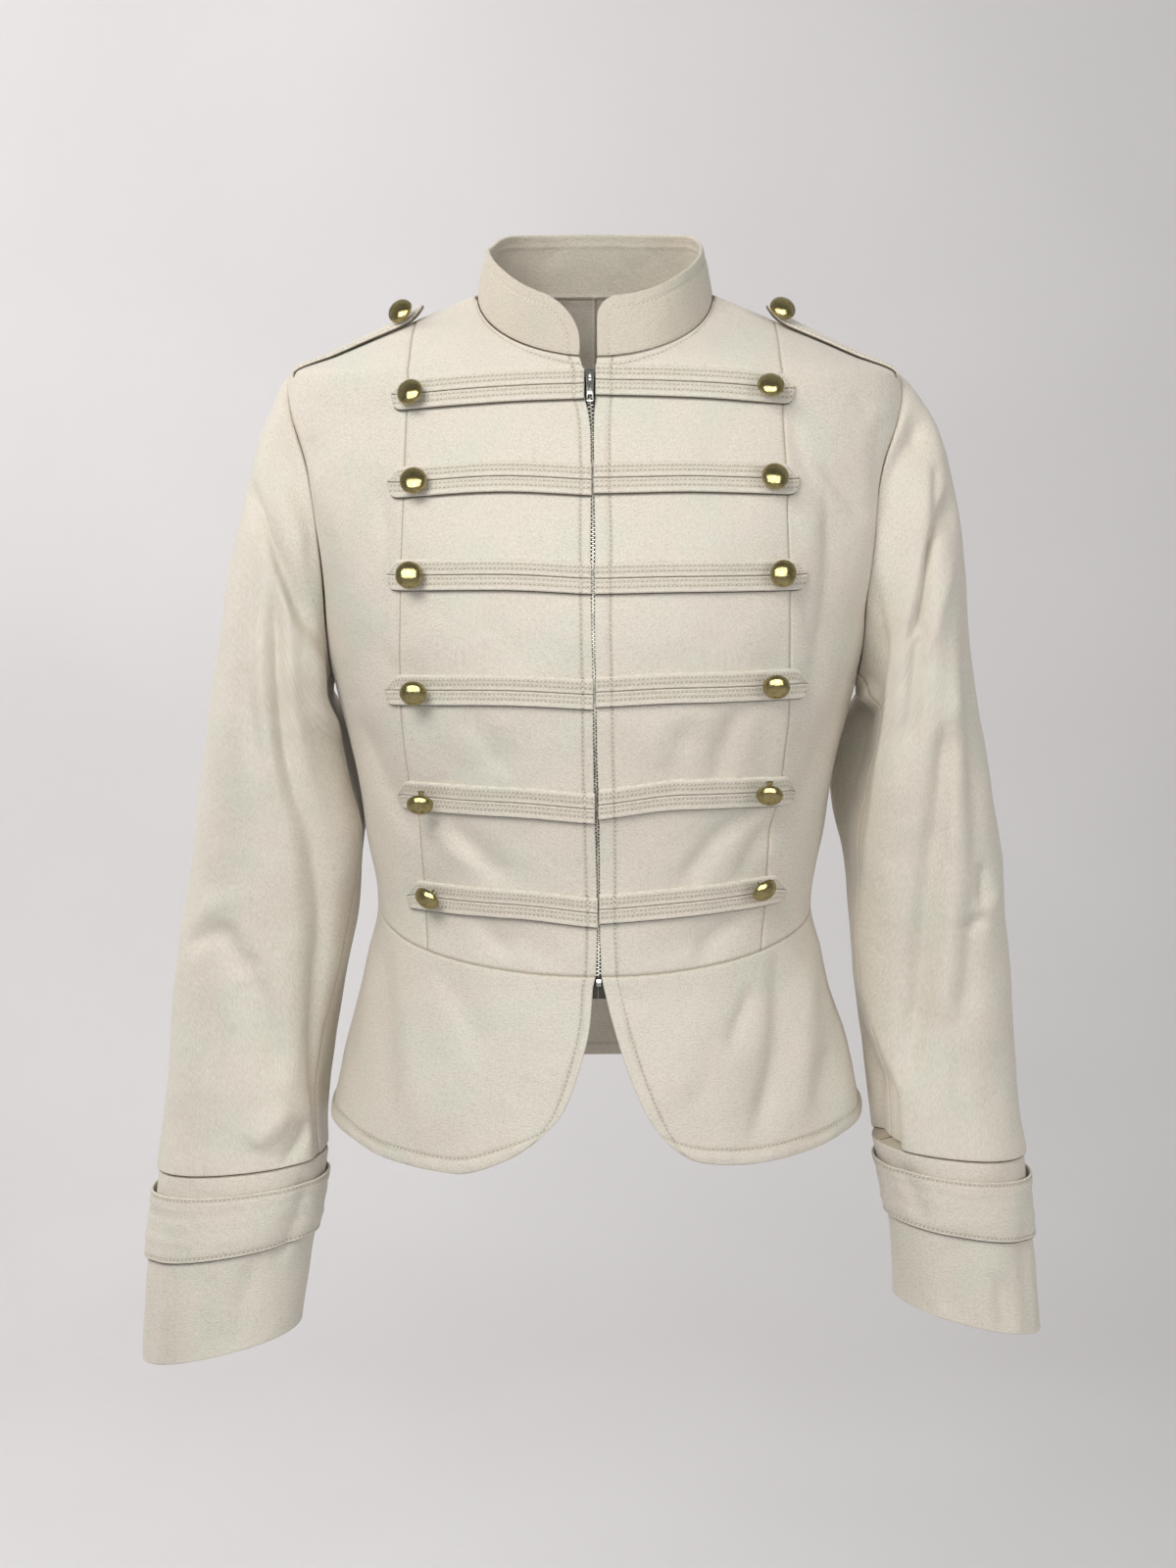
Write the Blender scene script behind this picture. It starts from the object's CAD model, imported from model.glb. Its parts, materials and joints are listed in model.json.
"""Looks of a cropped zip-up jacket in cream cotton sateen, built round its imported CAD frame.

The body, sleeves and collar repeat the CAD part's sections at a finer spacing, with the cloth's own
folds, rolled edges, seam grooves and stitches. Metres, +Z up; the jacket faces -Y.
"""
import json
import math

import bmesh
import bpy
import numpy as np
from mathutils import Matrix, Vector

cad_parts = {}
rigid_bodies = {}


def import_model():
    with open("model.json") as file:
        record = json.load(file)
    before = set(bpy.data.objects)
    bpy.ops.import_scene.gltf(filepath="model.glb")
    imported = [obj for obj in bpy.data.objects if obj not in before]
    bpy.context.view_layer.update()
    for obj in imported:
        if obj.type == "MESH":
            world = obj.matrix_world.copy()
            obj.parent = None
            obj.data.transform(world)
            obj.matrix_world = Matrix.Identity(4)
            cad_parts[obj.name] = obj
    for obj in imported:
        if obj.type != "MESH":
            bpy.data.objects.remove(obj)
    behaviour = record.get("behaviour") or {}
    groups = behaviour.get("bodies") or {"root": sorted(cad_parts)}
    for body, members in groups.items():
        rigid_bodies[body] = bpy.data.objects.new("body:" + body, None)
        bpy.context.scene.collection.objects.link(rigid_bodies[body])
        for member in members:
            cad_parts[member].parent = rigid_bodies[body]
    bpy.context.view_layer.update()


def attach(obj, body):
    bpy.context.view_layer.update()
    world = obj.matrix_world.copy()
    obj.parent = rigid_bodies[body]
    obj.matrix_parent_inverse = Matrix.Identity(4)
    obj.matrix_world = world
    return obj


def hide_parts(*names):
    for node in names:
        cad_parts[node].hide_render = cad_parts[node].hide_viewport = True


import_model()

MM = 0.001
QUARTER = math.pi / 2
SIDES = {"right": -1, "left": 1}          # the wearer's sides
BODY = "jacket"
PULL_BODY = "pull_tab"

# ---- sizes shared with the CAD part

CLOTH = 1.5 * MM
COLLAR_WALL = 2.2 * MM
STRAP_WALL = 2.0 * MM
BAND_WALL = 1.6 * MM
EPAULETTE_WALL = 1.8 * MM
SEAM_GAP = 0.3 * MM
LIFT = 0.9 * MM
EPAULETTE_LIFT = 0.5 * MM
NECK_HALF_WIDTH = 0.070
NECK_DROP = 0.0365
NECK_START = 0.0012
COLLAR_LEAN = math.radians(12)
COLLAR_CORNERS = {"right": (0.026, 0.025), "left": (0.012, 0.013)}  # width and height of each end's curve
COLLAR_GAP = 0.42 * MM
COLLAR_STEPS = 60
SHOULDER_TIP = 0.047
ARMPIT = 0.232
ARMHOLE_FRONT = (0.050, 1.5)        # how far it cuts into the front, and how round
ARMHOLE_BACK = (0.052, 1.2)
PRINCESS_AT_SHOULDER = 0.106
STRAP_HALF_WIDTH = 0.0085
STRAP_HALFWAY = 0.050
EPAULETTE_HALF_WIDTH = 0.021
EPAULETTE_REACH = (0.178, 0.100)
EPAULETTE_BUTTON = {"right": 0.0102, "left": 0.0072}
CUFF_SEAM = 0.490
CUFF_HEM = 0.610
CUFF_BAND = (0.503, 0.546)
FRONT_SLEEVE_SEAM = math.radians(160)
BACK_SLEEVE_SEAM = math.radians(250)
ARMHOLE_BLEND = 0.050
SLEEVE_EASE = 0.020
SLEEVE_POWER = 2.15
BUTTON_RADIUS = 8.25 * MM
BUTTON_DOME = 5.0 * MM
BUTTON_BODY = 0.955         # width of the dome within its rolled rim
BUTTON_RIM = (0.35 * MM, 0.5 * MM)      # how far the rim stands out, and how deep it is
BUTTON_BACK = (0.5 * MM, 0.35 * MM)     # how far in from the rim the back is hollow, and how deep
BUTTON_SHANK = 3.2 * MM     # of an upright button; a leaning one's reaches far enough to clear its rim
SHANK_RADIUS = 1.8 * MM
BUTTON_CLEAR = 0.5 * MM
EPAULETTE_BUTTON_OUT = 4.0 * MM
EPAULETTE_BUTTON_FORWARD = 12 * MM
EPAULETTE_SHANK = 4.2 * MM
EPAULETTE_BUTTON_LEAN = {"right": (0.5, -0.9), "left": (0.1, -0.8)}
STRAP_OVER = 0.3 * MM
WAIST_FRONT = -0.385
WAIST_SEAM = (-0.3735, 0.0165, 0.0035)      # its level, its fall to the front and its fall to both middles
ZIP_TOP = 0.0430
ZIP_END = 0.4065
TAPE_WIDTH = 0.0110
TAPE_WALL = 0.8 * MM
FINER = 4                   # these grids have four times the CAD part's rows and columns
PANEL_ROWS = 18 * FINER
ARMHOLE_ROWS = 11 * FINER
FLAT_BACK_ROWS = 6 * FINER
NECK_COLUMNS = 5 * FINER
SLEEVE_ROWS = 15 * FINER
BACK_AT_ARMPIT = -0.268
ROW_CROWDING = 1.32

SLIDER_TOP = 0.0440
SLIDER_LENGTH = 0.0105
SLIDER_WIDTH = 5.6 * MM
SLIDER_TAPER = 0.66
SLIDER_FACE = 1.1 * MM      # how far its front stands out of the cloth
BRIDGE_LENGTH = 4.6 * MM
BRIDGE_HEIGHT = 2.7 * MM
BRIDGE_BAR = 0.8 * MM
BRIDGE_ABOVE = 1.6 * MM     # its middle lies this far above the slider's
PULL_WIDTH = 4.0 * MM
PULL_LENGTH = 0.0165
PULL_WALL = 0.9 * MM
PULL_SLOT = (2.0 * MM, 3.6 * MM)        # where it hangs from the bridge
PULL_WINDOW = (2.5 * MM, 3.3 * MM)      # the opening near its free end
BOX_MIDDLE = -0.3970
BOX_SIZE = (3.0 * MM, 1.9 * MM, 4.4 * MM)
BOX_ASIDE = 0.2 * MM
BOX_FORWARD = 0.72 * MM
SLIDER_FORWARD = 0.45 * MM

# ---- sizes of the finish

FRONT_STITCH = {"right": 6.0 * MM, "left": 9.0 * MM}    # rows of stitches from their edges
NECK_STITCH = 5.4 * MM
COLLAR_STITCH = 7.0 * MM
HEM_STITCH = 9.0 * MM
HEM_SWELL = 1.2 * MM        # the turned-up hem stands out between its stitches and its fold
BAND_STITCH = 2.1 * MM
EPAULETTE_STITCH = 2.2 * MM
EPAULETTE_END = 0.012       # length of its rounded end
EPAULETTE_TAPER = 0.16      # share by which it narrows towards that end
EPAULETTE_CROWN = 3.4 * MM
EPAULETTE_TIP = (0.022, 1.6 * MM)   # its end lifts over this length, and so far
STRAP_BANDS = {"upper": (-0.5 * MM, 8.6 * MM), "lower": (-0.5 * MM, -9.5 * MM)}
STRAP_STITCHES = {"upper": (2.8 * MM, 5.6 * MM), "lower": (2.0 * MM, 4.9 * MM)}
STRAP_SAG = 0.5 * MM
STRAP_LIFT = 0.5 * MM
STRAP_ROLL = MM
ROLL_START = 4.5 * MM       # a strap's upper edge rolls in from here, over this length
ROLL_LENGTH = 4.0 * MM
LOWER_LIFT = 0.2 * MM
TIP_LENGTH = 0.012
TIP_BEND_LENGTH = 0.008
STITCH_PITCH = 2.8 * MM
STRAP_PITCH = 2.5 * MM
STITCH_SHARE = 0.78
STITCH_SLANT = 0.14
THREAD_RADIUS = 0.32 * MM
SHANK_HOLE = 0.8 * MM
TOOTH_START = 0.0560
TOOTH_END = 0.3930
TOOTH_PITCH = 2.2 * MM
TOOTH_WIDTH = 2.3 * MM
TOOTH_THICK = 1.05 * MM
TOOTH_DEEP = 1.3 * MM
TOOTH_TAPER = 0.82          # width of its inner end beside the outer one
TOOTH_ASIDE = 0.55 * MM


def table(columns, *rows):
    """A short table as one array for each named column."""
    return {name: np.array(values) for name, values in zip(columns, zip(*rows))}


# The body's level sections. Each is a rounded oval about its middle line; above the shoulder's tip
# its half width is the shoulder seam's, so the sections shrink towards the neck.
SECTIONS = table(
    ("height", "half_width", "front", "back", "middle", "power"),
    (-0.511, 0.1695, 0.1220, 0.1190, 0.002, 2.10),      # peplum hem
    (-0.455, 0.1540, 0.1125, 0.1060, 0.002, 2.10),
    (-0.424, 0.1460, 0.1065, 0.0970, 0.002, 2.10),
    (-0.400, 0.1405, 0.1030, 0.0910, 0.003, 2.10),
    (-0.372, 0.1345, 0.1020, 0.0850, 0.004, 2.10),      # waist
    (-0.320, 0.1415, 0.1075, 0.0865, 0.006, 2.10),
    (-0.275, 0.1490, 0.1145, 0.0905, 0.007, 2.15),
    (-0.235, 0.1585, 0.1195, 0.0960, 0.007, 2.20),      # armpit
    (-0.200, 0.1650, 0.1205, 0.1000, 0.006, 2.20),      # bust
    (-0.165, 0.1720, 0.1165, 0.1025, 0.005, 2.20),
    (-0.135, 0.1790, 0.1095, 0.1020, 0.004, 2.20),
    (-0.100, 0.1840, 0.0980, 0.0970, 0.004, 2.20),
    (-0.075, 0.1865, 0.0890, 0.0905, 0.004, 2.20),
    (-0.047, 0.1820, 0.0785, 0.0810, 0.003, 2.20),      # shoulder tip
    (-0.0365, 0.1570, 0.0726, 0.0760, 0.002, 2.20),     # centre front neck
    (0.000, 0.0700, 0.0090, 0.0560, 0.000, 2.20),       # side neck
)

# Where the abutting front edges run, on each side of the zip; they part round the slider.
FRONT_EDGES = table(
    ("height", "right", "left"),
    (-0.401, 0.0002, 0.0040),
    (-0.387, 0.0010, 0.0037),
    (-0.362, 0.0015, 0.0028),
    (-0.337, 0.0011, 0.0029),
    (-0.300, 0.0001, 0.0025),
    (-0.260, -0.0008, 0.0013),
    (-0.224, -0.0011, 0.0007),
    (-0.180, -0.0019, -0.0002),
    (-0.143, -0.0023, 0.0001),
    (-0.107, -0.0021, -0.0005),
    (-0.080, -0.0024, -0.0007),
    (-0.068, -0.0038, -0.0004),
    (-0.057, -0.0062, 0.0005),
    (-0.045, -0.0064, 0.0006),
    (-0.0365, -0.0088, 0.0010),
)

COLLAR_HEIGHTS = table(     # by the share of the way from a front end to the centre back
    ("share", "right", "left"),
    (0.00, 0.0320, 0.0345),
    (0.28, 0.0323, 0.0335),
    (0.42, 0.0305, 0.0310),
    (0.54, 0.0272, 0.0288),
    (0.64, 0.0342, 0.0342),
    (0.70, 0.0362, 0.0362),
    (1.00, 0.0380, 0.0380),
)

PRINCESS_SEAM = table(
    ("height", "half_width"),
    (-0.385, 0.0995),
    (-0.345, 0.1015),
    (-0.310, 0.1040),
    (-0.280, 0.1090),
    (-0.215, 0.1130),
    (-0.165, 0.1120),
    (-0.100, 0.1095),
    (-0.045, 0.1075),
    (0.000, PRINCESS_AT_SHOULDER),
)

# The peplum's edge on each side: down its front, round the corner and along the hem to the side seam.
PEPLUM_EDGE = table(
    ("step", "right", "right_height", "left", "left_height"),
    (0, 0.0006, -0.3950, 0.0040, -0.3950),
    (1, 0.0027, -0.4218, 0.0103, -0.4196),
    (2, 0.0091, -0.4481, 0.0194, -0.4483),
    (3, 0.0183, -0.4713, 0.0314, -0.4750),
    (4, 0.0326, -0.4875, 0.0452, -0.4925),      # the corner
    (5, 0.0533, -0.5015, 0.0640, -0.5030),
    (6, 0.0860, -0.5115, 0.0960, -0.5065),
    (7, 0.1250, -0.5090, 0.1300, -0.5050),
    (8, 0.1500, -0.5030, 0.1510, -0.5020),
)
PEPLUM_CORNER_STEP = 4
SIDE_HEM = -0.500

# A strap's middle line at the zip, halfway and at its tip, where its tip and its button are, and how
# many degrees the button's face hangs down and turns to the wearer's left.
STRAPS = table(
    ("side", "at_zip", "halfway", "at_tip", "tip", "button", "button_height", "droop", "turn"),
    (-1, -0.0518, -0.0538, -0.0590, 0.1166, 0.1033, -0.0594, -14, -14),
    (-1, -0.1059, -0.1038, -0.1082, 0.1185, 0.1010, -0.1086, -8, 12),
    (-1, -0.1601, -0.1582, -0.1602, 0.1198, 0.1022, -0.1595, 4, 24),
    (-1, -0.2254, -0.2234, -0.2268, 0.1207, 0.0996, -0.2252, 16, 24),
    (-1, -0.2923, -0.2892, -0.2900, 0.1162, 0.0959, -0.2901, 30, 26),
    (-1, -0.3551, -0.3509, -0.3515, 0.1111, 0.0929, -0.3489, 30, -4),
    (1, -0.0496, -0.0510, -0.0553, 0.1144, 0.0983, -0.0563, -28, -8),
    (1, -0.1048, -0.1038, -0.1063, 0.1162, 0.1002, -0.1063, -10, -6),
    (1, -0.1601, -0.1593, -0.1597, 0.1210, 0.1039, -0.1587, 4, -8),
    (1, -0.2240, -0.2220, -0.2229, 0.1230, 0.0994, -0.2212, 18, -26),
    (1, -0.2899, -0.2851, -0.2873, 0.1180, 0.0958, -0.2842, 28, -30),
    (1, -0.3528, -0.3501, -0.3477, 0.1123, 0.0942, -0.3440, 28, 4),
)
STRAP_ENDS = table(         # each band's width towards the folded tip: a mitre above, a round end below
    ("before_tip", "upper", "lower"),
    (0.0, 0.06, 0.12),
    (0.0006, 0.15, 0.55),
    (0.0015, 0.28, 0.80),
    (0.0034, 0.55, 0.95),
    (0.0062, 0.93, 1.0),
    (0.0080, 1.0, 1.0),
    (0.1300, 1.0, 1.0),
)
TIP_BEND = (0.6 * MM, 0.6 * MM, 0.3 * MM, -0.5 * MM, -2.2 * MM, -2.2 * MM)  # of the slit at each row's tip

# A sleeve's rings: the outermost and innermost points, the middle from front to back, half its depth.
SLEEVE_COLUMNS = ("down", "outer", "outer_height", "inner", "inner_height", "middle", "half_depth")
SLEEVES = {"right": table(
    SLEEVE_COLUMNS,
    (0.000, 0.1825, -0.0475, 0.1595, -0.2325, 0.006, 0.050),
    (0.035, 0.2010, -0.0816, 0.1612, -0.2380, 0.006, 0.058),
    (0.075, 0.2114, -0.1193, 0.1612, -0.2450, 0.006, 0.062),
    (0.120, 0.2222, -0.1645, 0.1600, -0.2540, 0.006, 0.063),
    (0.180, 0.2332, -0.2246, 0.1565, -0.2710, 0.006, 0.061),
    (0.240, 0.2419, -0.2848, 0.1508, -0.2960, 0.006, 0.058),
    (0.280, 0.2478, -0.3235, 0.1448, -0.3240, 0.006, 0.055),
    (0.320, 0.2532, -0.3611, 0.1444, -0.3580, 0.005, 0.051),
    (0.380, 0.2619, -0.4238, 0.1535, -0.4180, 0.000, 0.046),
    (0.420, 0.2649, -0.4609, 0.1591, -0.4540, -0.005, 0.043),
    (0.490, 0.2718, -0.5339, 0.1663, -0.5231, -0.017, 0.039),
    (0.560, 0.2795, -0.6024, 0.1760, -0.5830, -0.026, 0.036),
    (0.610, 0.2827, -0.6543, 0.1827, -0.6304, -0.030, 0.034),
), "left": table(
    SLEEVE_COLUMNS,
    (0.000, 0.1825, -0.0475, 0.1595, -0.2325, 0.006, 0.050),
    (0.035, 0.2070, -0.0800, 0.1612, -0.2380, 0.006, 0.058),
    (0.075, 0.2172, -0.1193, 0.1612, -0.2450, 0.006, 0.062),
    (0.120, 0.2245, -0.1645, 0.1605, -0.2540, 0.006, 0.063),
    (0.180, 0.2308, -0.2246, 0.1580, -0.2710, 0.006, 0.061),
    (0.240, 0.2419, -0.2820, 0.1535, -0.2940, 0.006, 0.058),
    (0.280, 0.2488, -0.3220, 0.1515, -0.3230, 0.006, 0.055),
    (0.320, 0.2535, -0.3611, 0.1545, -0.3580, 0.005, 0.051),
    (0.380, 0.2582, -0.4180, 0.1600, -0.4120, 0.001, 0.046),
    (0.420, 0.2607, -0.4507, 0.1628, -0.4440, -0.003, 0.043),
    (0.490, 0.2671, -0.5238, 0.1728, -0.5136, -0.017, 0.039),
    (0.560, 0.2742, -0.5870, 0.1835, -0.5700, -0.025, 0.036),
    (0.610, 0.2783, -0.6337, 0.1854, -0.6112, -0.030, 0.034),
)}


# ---- smooth curves and the body's form

SHOULDER_SEARCH = -0.20     # the lowest height that a point on the shoulder could have
HALVINGS = 40


def unit(vectors):
    return vectors / np.linalg.norm(vectors, axis=-1, keepdims=True)


def lengths(points, axis=0):
    """Lengths from the first point along a line, or along one axis of a grid."""
    steps = np.linalg.norm(np.diff(points, axis=axis), axis=-1)
    start = np.zeros_like(np.take(steps, [0], axis))
    return np.concatenate([start, np.cumsum(steps, axis=axis)], axis)


def on_line(line, run, place):
    """What a line's points hold at places along its running lengths."""
    return np.stack([np.interp(place, run, line[:, axis]) for axis in range(3)], -1)


def smooth(rows, column, at):
    """Value of a table's column on a smooth curve through its rows; the first column is the place."""
    places = rows[next(iter(rows))]
    values = rows[column]
    at = np.clip(np.asarray(at, float), places[0], places[-1])
    width = np.diff(places)
    slope = np.diff(values) / width
    product = slope[:-1] * slope[1:]
    total = np.where(product > 0, slope[:-1] + slope[1:], 1.0)
    bends = np.where(product > 0, 2 * product / total, 0.0)
    tangent = np.concatenate(([slope[0]], bends, [slope[-1]]))
    row = np.clip(np.searchsorted(places, at) - 1, 0, len(width) - 1)
    step = width[row]
    t = (at - places[row]) / step
    return (values[row] * (2 * t**3 - 3 * t**2 + 1) + tangent[row] * step * (t**3 - 2 * t**2 + t)
            + values[row + 1] * (3 * t**2 - 2 * t**3) + tangent[row + 1] * step * (t**3 - t**2))


def section(height):
    """Half width, front depth, back depth, middle line and squareness of the body at a height."""
    return [smooth(SECTIONS, name, height) for name in ("half_width", "front", "back", "middle", "power")]


def outside(x, y, height):
    """How far out of the body a point is: 1 on its outer face, less inside."""
    half, front, back, middle, power = section(height)
    depth = np.where(y < middle, front, back)
    return (np.abs(x) / half) ** power + (np.abs(y - middle) / depth) ** power


def torso(angle, height, out=0.0):
    """Points of the body's outer face, moved out along its normal.

    The angle is 0 at the centre front, a quarter turn at the side and shoulder seams and a half turn
    at the centre back, and negative on the wearer's right.
    """
    angle, height = np.broadcast_arrays(np.asarray(angle, float), np.asarray(height, float))
    half, front, back, middle, power = section(height)
    across, along = np.sin(angle), np.cos(angle)
    depth = np.where(along > 0, front, back)
    x = half * np.sign(across) * np.abs(across) ** (2 / power)
    y = middle - depth * np.sign(along) * np.abs(along) ** (2 / power)
    step = 0.2 * MM
    normal = np.stack([
        power * np.sign(x) * np.abs(x) ** (power - 1) / half**power,
        power * np.sign(y - middle) * np.abs(y - middle) ** (power - 1) / depth**power,
        (outside(x, y, height + step) - outside(x, y, height - step)) / (2 * step),
    ], -1)
    return np.stack([x, y, height], -1) + np.asarray(out)[..., None] * unit(normal)


def foot_on(angle, height, out):
    """A point off the body's face, and the way straight out from it."""
    foot = torso(angle, height, out)
    return foot, torso(angle, height, out + 1.0) - foot


def angle_at_x(x, height):
    """The angle on the body's front at a distance from the middle."""
    half, power = section(height)[0], section(height)[4]
    share = np.minimum(np.abs(x) / half, 1.0)
    return np.sign(x) * np.arcsin(share ** (power / 2))


def height_at(x, y):
    """Height of the shoulder's outer face above a point, found by halving."""
    low = np.full(np.shape(x), SHOULDER_SEARCH)
    high = np.zeros(np.shape(x))
    for _ in range(HALVINGS):
        middle = (low + high) / 2
        inside = outside(x, y, middle) < 1
        low = np.where(inside, middle, low)
        high = np.where(inside, high, middle)
    return low


def patch(top, bottom, left, right):
    """Grid of pairs between four edges that share their corners."""
    rows, columns = len(left), len(top)
    down = np.linspace(0, 1, rows)[:, None, None]
    across = np.linspace(0, 1, columns)[None, :, None]
    corners = ((1 - down) * ((1 - across) * top[0] + across * top[-1])
               + down * ((1 - across) * bottom[0] + across * bottom[-1]))
    return ((1 - down) * top[None] + down * bottom[None]
            + (1 - across) * left[:, None] + across * right[:, None] - corners)


def flat_patch(side, top, bottom, left, right, rear=False):
    """Grid between four edges on the body's front or back, evenly spaced as seen from the front."""
    flat = [pairs(torso(edge[:, 0], edge[:, 1])[:, 0], edge[:, 1]) for edge in (top, bottom, left, right)]
    grid = patch(*flat)
    grid[..., 0] = angle_at_x(grid[..., 0], grid[..., 1])
    if rear:
        grid[..., 0] = side * math.pi - grid[..., 0]
    grid[0], grid[-1], grid[:, 0], grid[:, -1] = top, bottom, left, right
    return grid


def side_of(sign):
    return "right" if sign < 0 else "left"


def pairs(angles, heights):
    return np.stack(np.broadcast_arrays(np.asarray(angles, float), np.asarray(heights, float)), -1)


def crowded(count):
    """Shares from 0 to 1 that lie closer together at the start."""
    return np.linspace(0, 1, count + 1) ** ROW_CROWDING


# ---- edges of the pattern pieces

def front_neckline(side, start, columns):
    """The neckline from beside the zip to the side neck, on one flat slanting plane."""
    turn = np.linspace(math.asin(start / NECK_HALF_WIDTH), QUARTER, columns + 1)
    height = -NECK_DROP * np.cos(turn)
    x = side * NECK_HALF_WIDTH * np.sin(turn)
    angle = angle_at_x(x, height)
    angle[-1] = side * QUARTER
    height[-1] = 0.0
    return pairs(angle, height)


def neck_start(side):
    """Distance of a front's edge from the middle at the neckline."""
    return max(abs(float(smooth(FRONT_EDGES, side_of(side), -NECK_DROP))), NECK_START)


def shoulder_height(half_width):
    """Height of the shoulder seam at a distance from the middle."""
    heights = np.linspace(0.0, -SHOULDER_TIP, 200)
    return np.interp(half_width, section(heights)[0], heights)


def waist_height(angle):
    """The waist seam dips at the centre front and rises a little to the back."""
    level, front, middles = WAIST_SEAM
    return level - front * np.cos(angle) - middles * np.cos(2 * angle)


def waist_edge(start, end, count):
    """The waist seam between two angles."""
    angle = np.linspace(start, end, count)
    return pairs(angle, waist_height(angle))


def shoulder_edge(side, start, end, count):
    """The shoulder seam between two distances from the middle."""
    return pairs(side * QUARTER, shoulder_height(np.linspace(start, end, count)))


def front_edge(side, rows):
    start = -NECK_DROP
    end = waist_height(0.0)
    height = start + (end - start) * crowded(rows)
    return pairs(angle_at_x(smooth(FRONT_EDGES, side_of(side), height), height), height)


def princess_seam(side, rows):
    top = shoulder_height(PRINCESS_AT_SHOULDER)
    angle = angle_at_x(side * PRINCESS_SEAM["half_width"][0], WAIST_FRONT)
    height = top + (waist_height(angle) - top) * crowded(rows)
    seam = pairs(angle_at_x(side * smooth(PRINCESS_SEAM, "half_width", height), height), height)
    seam[0] = side * QUARTER, top
    return seam


def armhole(side, turn):
    """The armhole as angles and heights: 0 at the shoulder, a quarter turn at the front."""
    height = -(SHOULDER_TIP + ARMPIT) / 2 + (ARMPIT - SHOULDER_TIP) / 2 * np.cos(turn)
    front, back, power = section(height)[1], section(height)[2], section(height)[4]
    reach = np.sin(turn)
    ahead, behind = [
        np.arccos((cut * np.maximum(way, 0) ** curve / depth) ** (power / 2))
        for (cut, curve), way, depth in ((ARMHOLE_FRONT, reach, front), (ARMHOLE_BACK, -reach, back))]
    return pairs(side * np.where(reach > 0, ahead, math.pi - behind), height)


def outer_edge(side, rear):
    """Armhole and then side seam, from the shoulder's tip to the waist."""
    turn = np.linspace(0, math.pi, ARMHOLE_ROWS + 1) * (-1 if rear else 1)
    hole = armhole(side, turn)
    hole[[0, -1], 0] = side * QUARTER
    height = np.linspace(-ARMPIT, waist_height(QUARTER), PANEL_ROWS - ARMHOLE_ROWS + 1)[1:]
    return np.concatenate([hole, pairs(side * QUARTER, height)])


# ---- sleeves and collar

def sleeve(side_name, down, turn, out=0.0):
    """Points of a sleeve's outer face: the turn is 0 at its outer side, a quarter turn at the front."""
    down, turn = np.broadcast_arrays(np.asarray(down, float), np.asarray(turn, float))

    def face(down, turn):
        rows, side = SLEEVES[side_name], SIDES[side_name]
        outer, outer_height, inner, inner_height, middle, depth = [
            smooth(rows, name, down) for name in SLEEVE_COLUMNS[1:]]
        across, ahead = np.cos(turn), np.sin(turn)
        share = (1 + np.sign(across) * np.abs(across) ** (2 / SLEEVE_POWER)) / 2
        reach = np.sign(ahead) * np.abs(ahead) ** (2 / SLEEVE_POWER)
        ring = np.stack([
            side * (inner + (outer - inner) * share),
            middle - depth * reach,
            inner_height + (outer_height - inner_height) * share,
        ], -1)
        edge = armhole(side, turn)
        seam = torso(edge[..., 0], edge[..., 1])
        blend = np.clip(down / ARMHOLE_BLEND, 0, 1)
        blend = (blend * (2 - blend))[..., None]
        return (1 - blend) * seam + blend * ring

    step, tilt = 4.0 * MM, 0.02
    below = np.maximum(down, SLEEVE_EASE)
    normal = np.cross(face(below + step, turn) - face(below - step, turn),
                      face(below, turn + tilt) - face(below, turn - tilt)) * -SIDES[side_name]
    return face(down, turn) + np.asarray(out)[..., None] * unit(normal)


def peplum_edge(side, steps):
    name = side_of(side)
    x = smooth(PEPLUM_EDGE, name, steps)
    height = smooth(PEPLUM_EDGE, name + "_height", steps)
    if side < 0:
        x = np.where(np.asarray(steps) == 0, x, -x)
    return pairs(angle_at_x(x, height), height)


def collar_line():
    """Points round the base of the collar from the right front end, and the way inward at each."""
    halves = []
    for side in (-1, 1):
        front = front_neckline(side, neck_start(side), COLLAR_STEPS)
        back = pairs(side * np.linspace(QUARTER, math.pi, COLLAR_STEPS + 1)[1:], 0.0)
        halves.append(np.concatenate([front, back]))
    around = np.concatenate([halves[0], halves[1][::-1][1:]])
    line = torso(around[:, 0], around[:, 1])
    inward = unit(np.cross(np.gradient(line, axis=0), (0, 0, 1.0)))
    return line, inward * -np.sign(np.sum(inward * line * (1, 1, 0), -1, keepdims=True))


def collar_height(place, length):
    """Height of the collar at lengths along it, from its right front end to its left one."""
    reach = np.minimum(place, length - place)
    height = np.zeros(np.shape(place))
    for name, chosen in (("right", place <= length / 2), ("left", place > length / 2)):
        wide, tall = COLLAR_CORNERS[name]
        cut = np.maximum(wide - reach, 0) / wide
        full = smooth(COLLAR_HEIGHTS, name, reach / length * 2)
        height = np.where(chosen, full - tall + tall * np.sqrt(1 - cut**2), height)
    return height


def collar(grid, out=0.0):
    """The stand collar's outer face: each pair is a share of the way round and a share of its height."""
    line, inward = collar_line()
    run = lengths(line)
    place = grid[..., 0] * run[-1]
    lean, above = on_line(inward, run, place), np.array([0, 0, 1.0])
    up = math.cos(COLLAR_LEAN) * above + math.sin(COLLAR_LEAN) * lean
    away = -math.cos(COLLAR_LEAN) * lean + math.sin(COLLAR_LEAN) * above
    base = on_line(line, run, place) + (0, 0, COLLAR_GAP)
    face = base + (grid[..., 1] * collar_height(place, run[-1]))[..., None] * up
    return face + np.asarray(out)[..., None] * away


def collar_length():
    return lengths(collar_line()[0])[-1]


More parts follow.
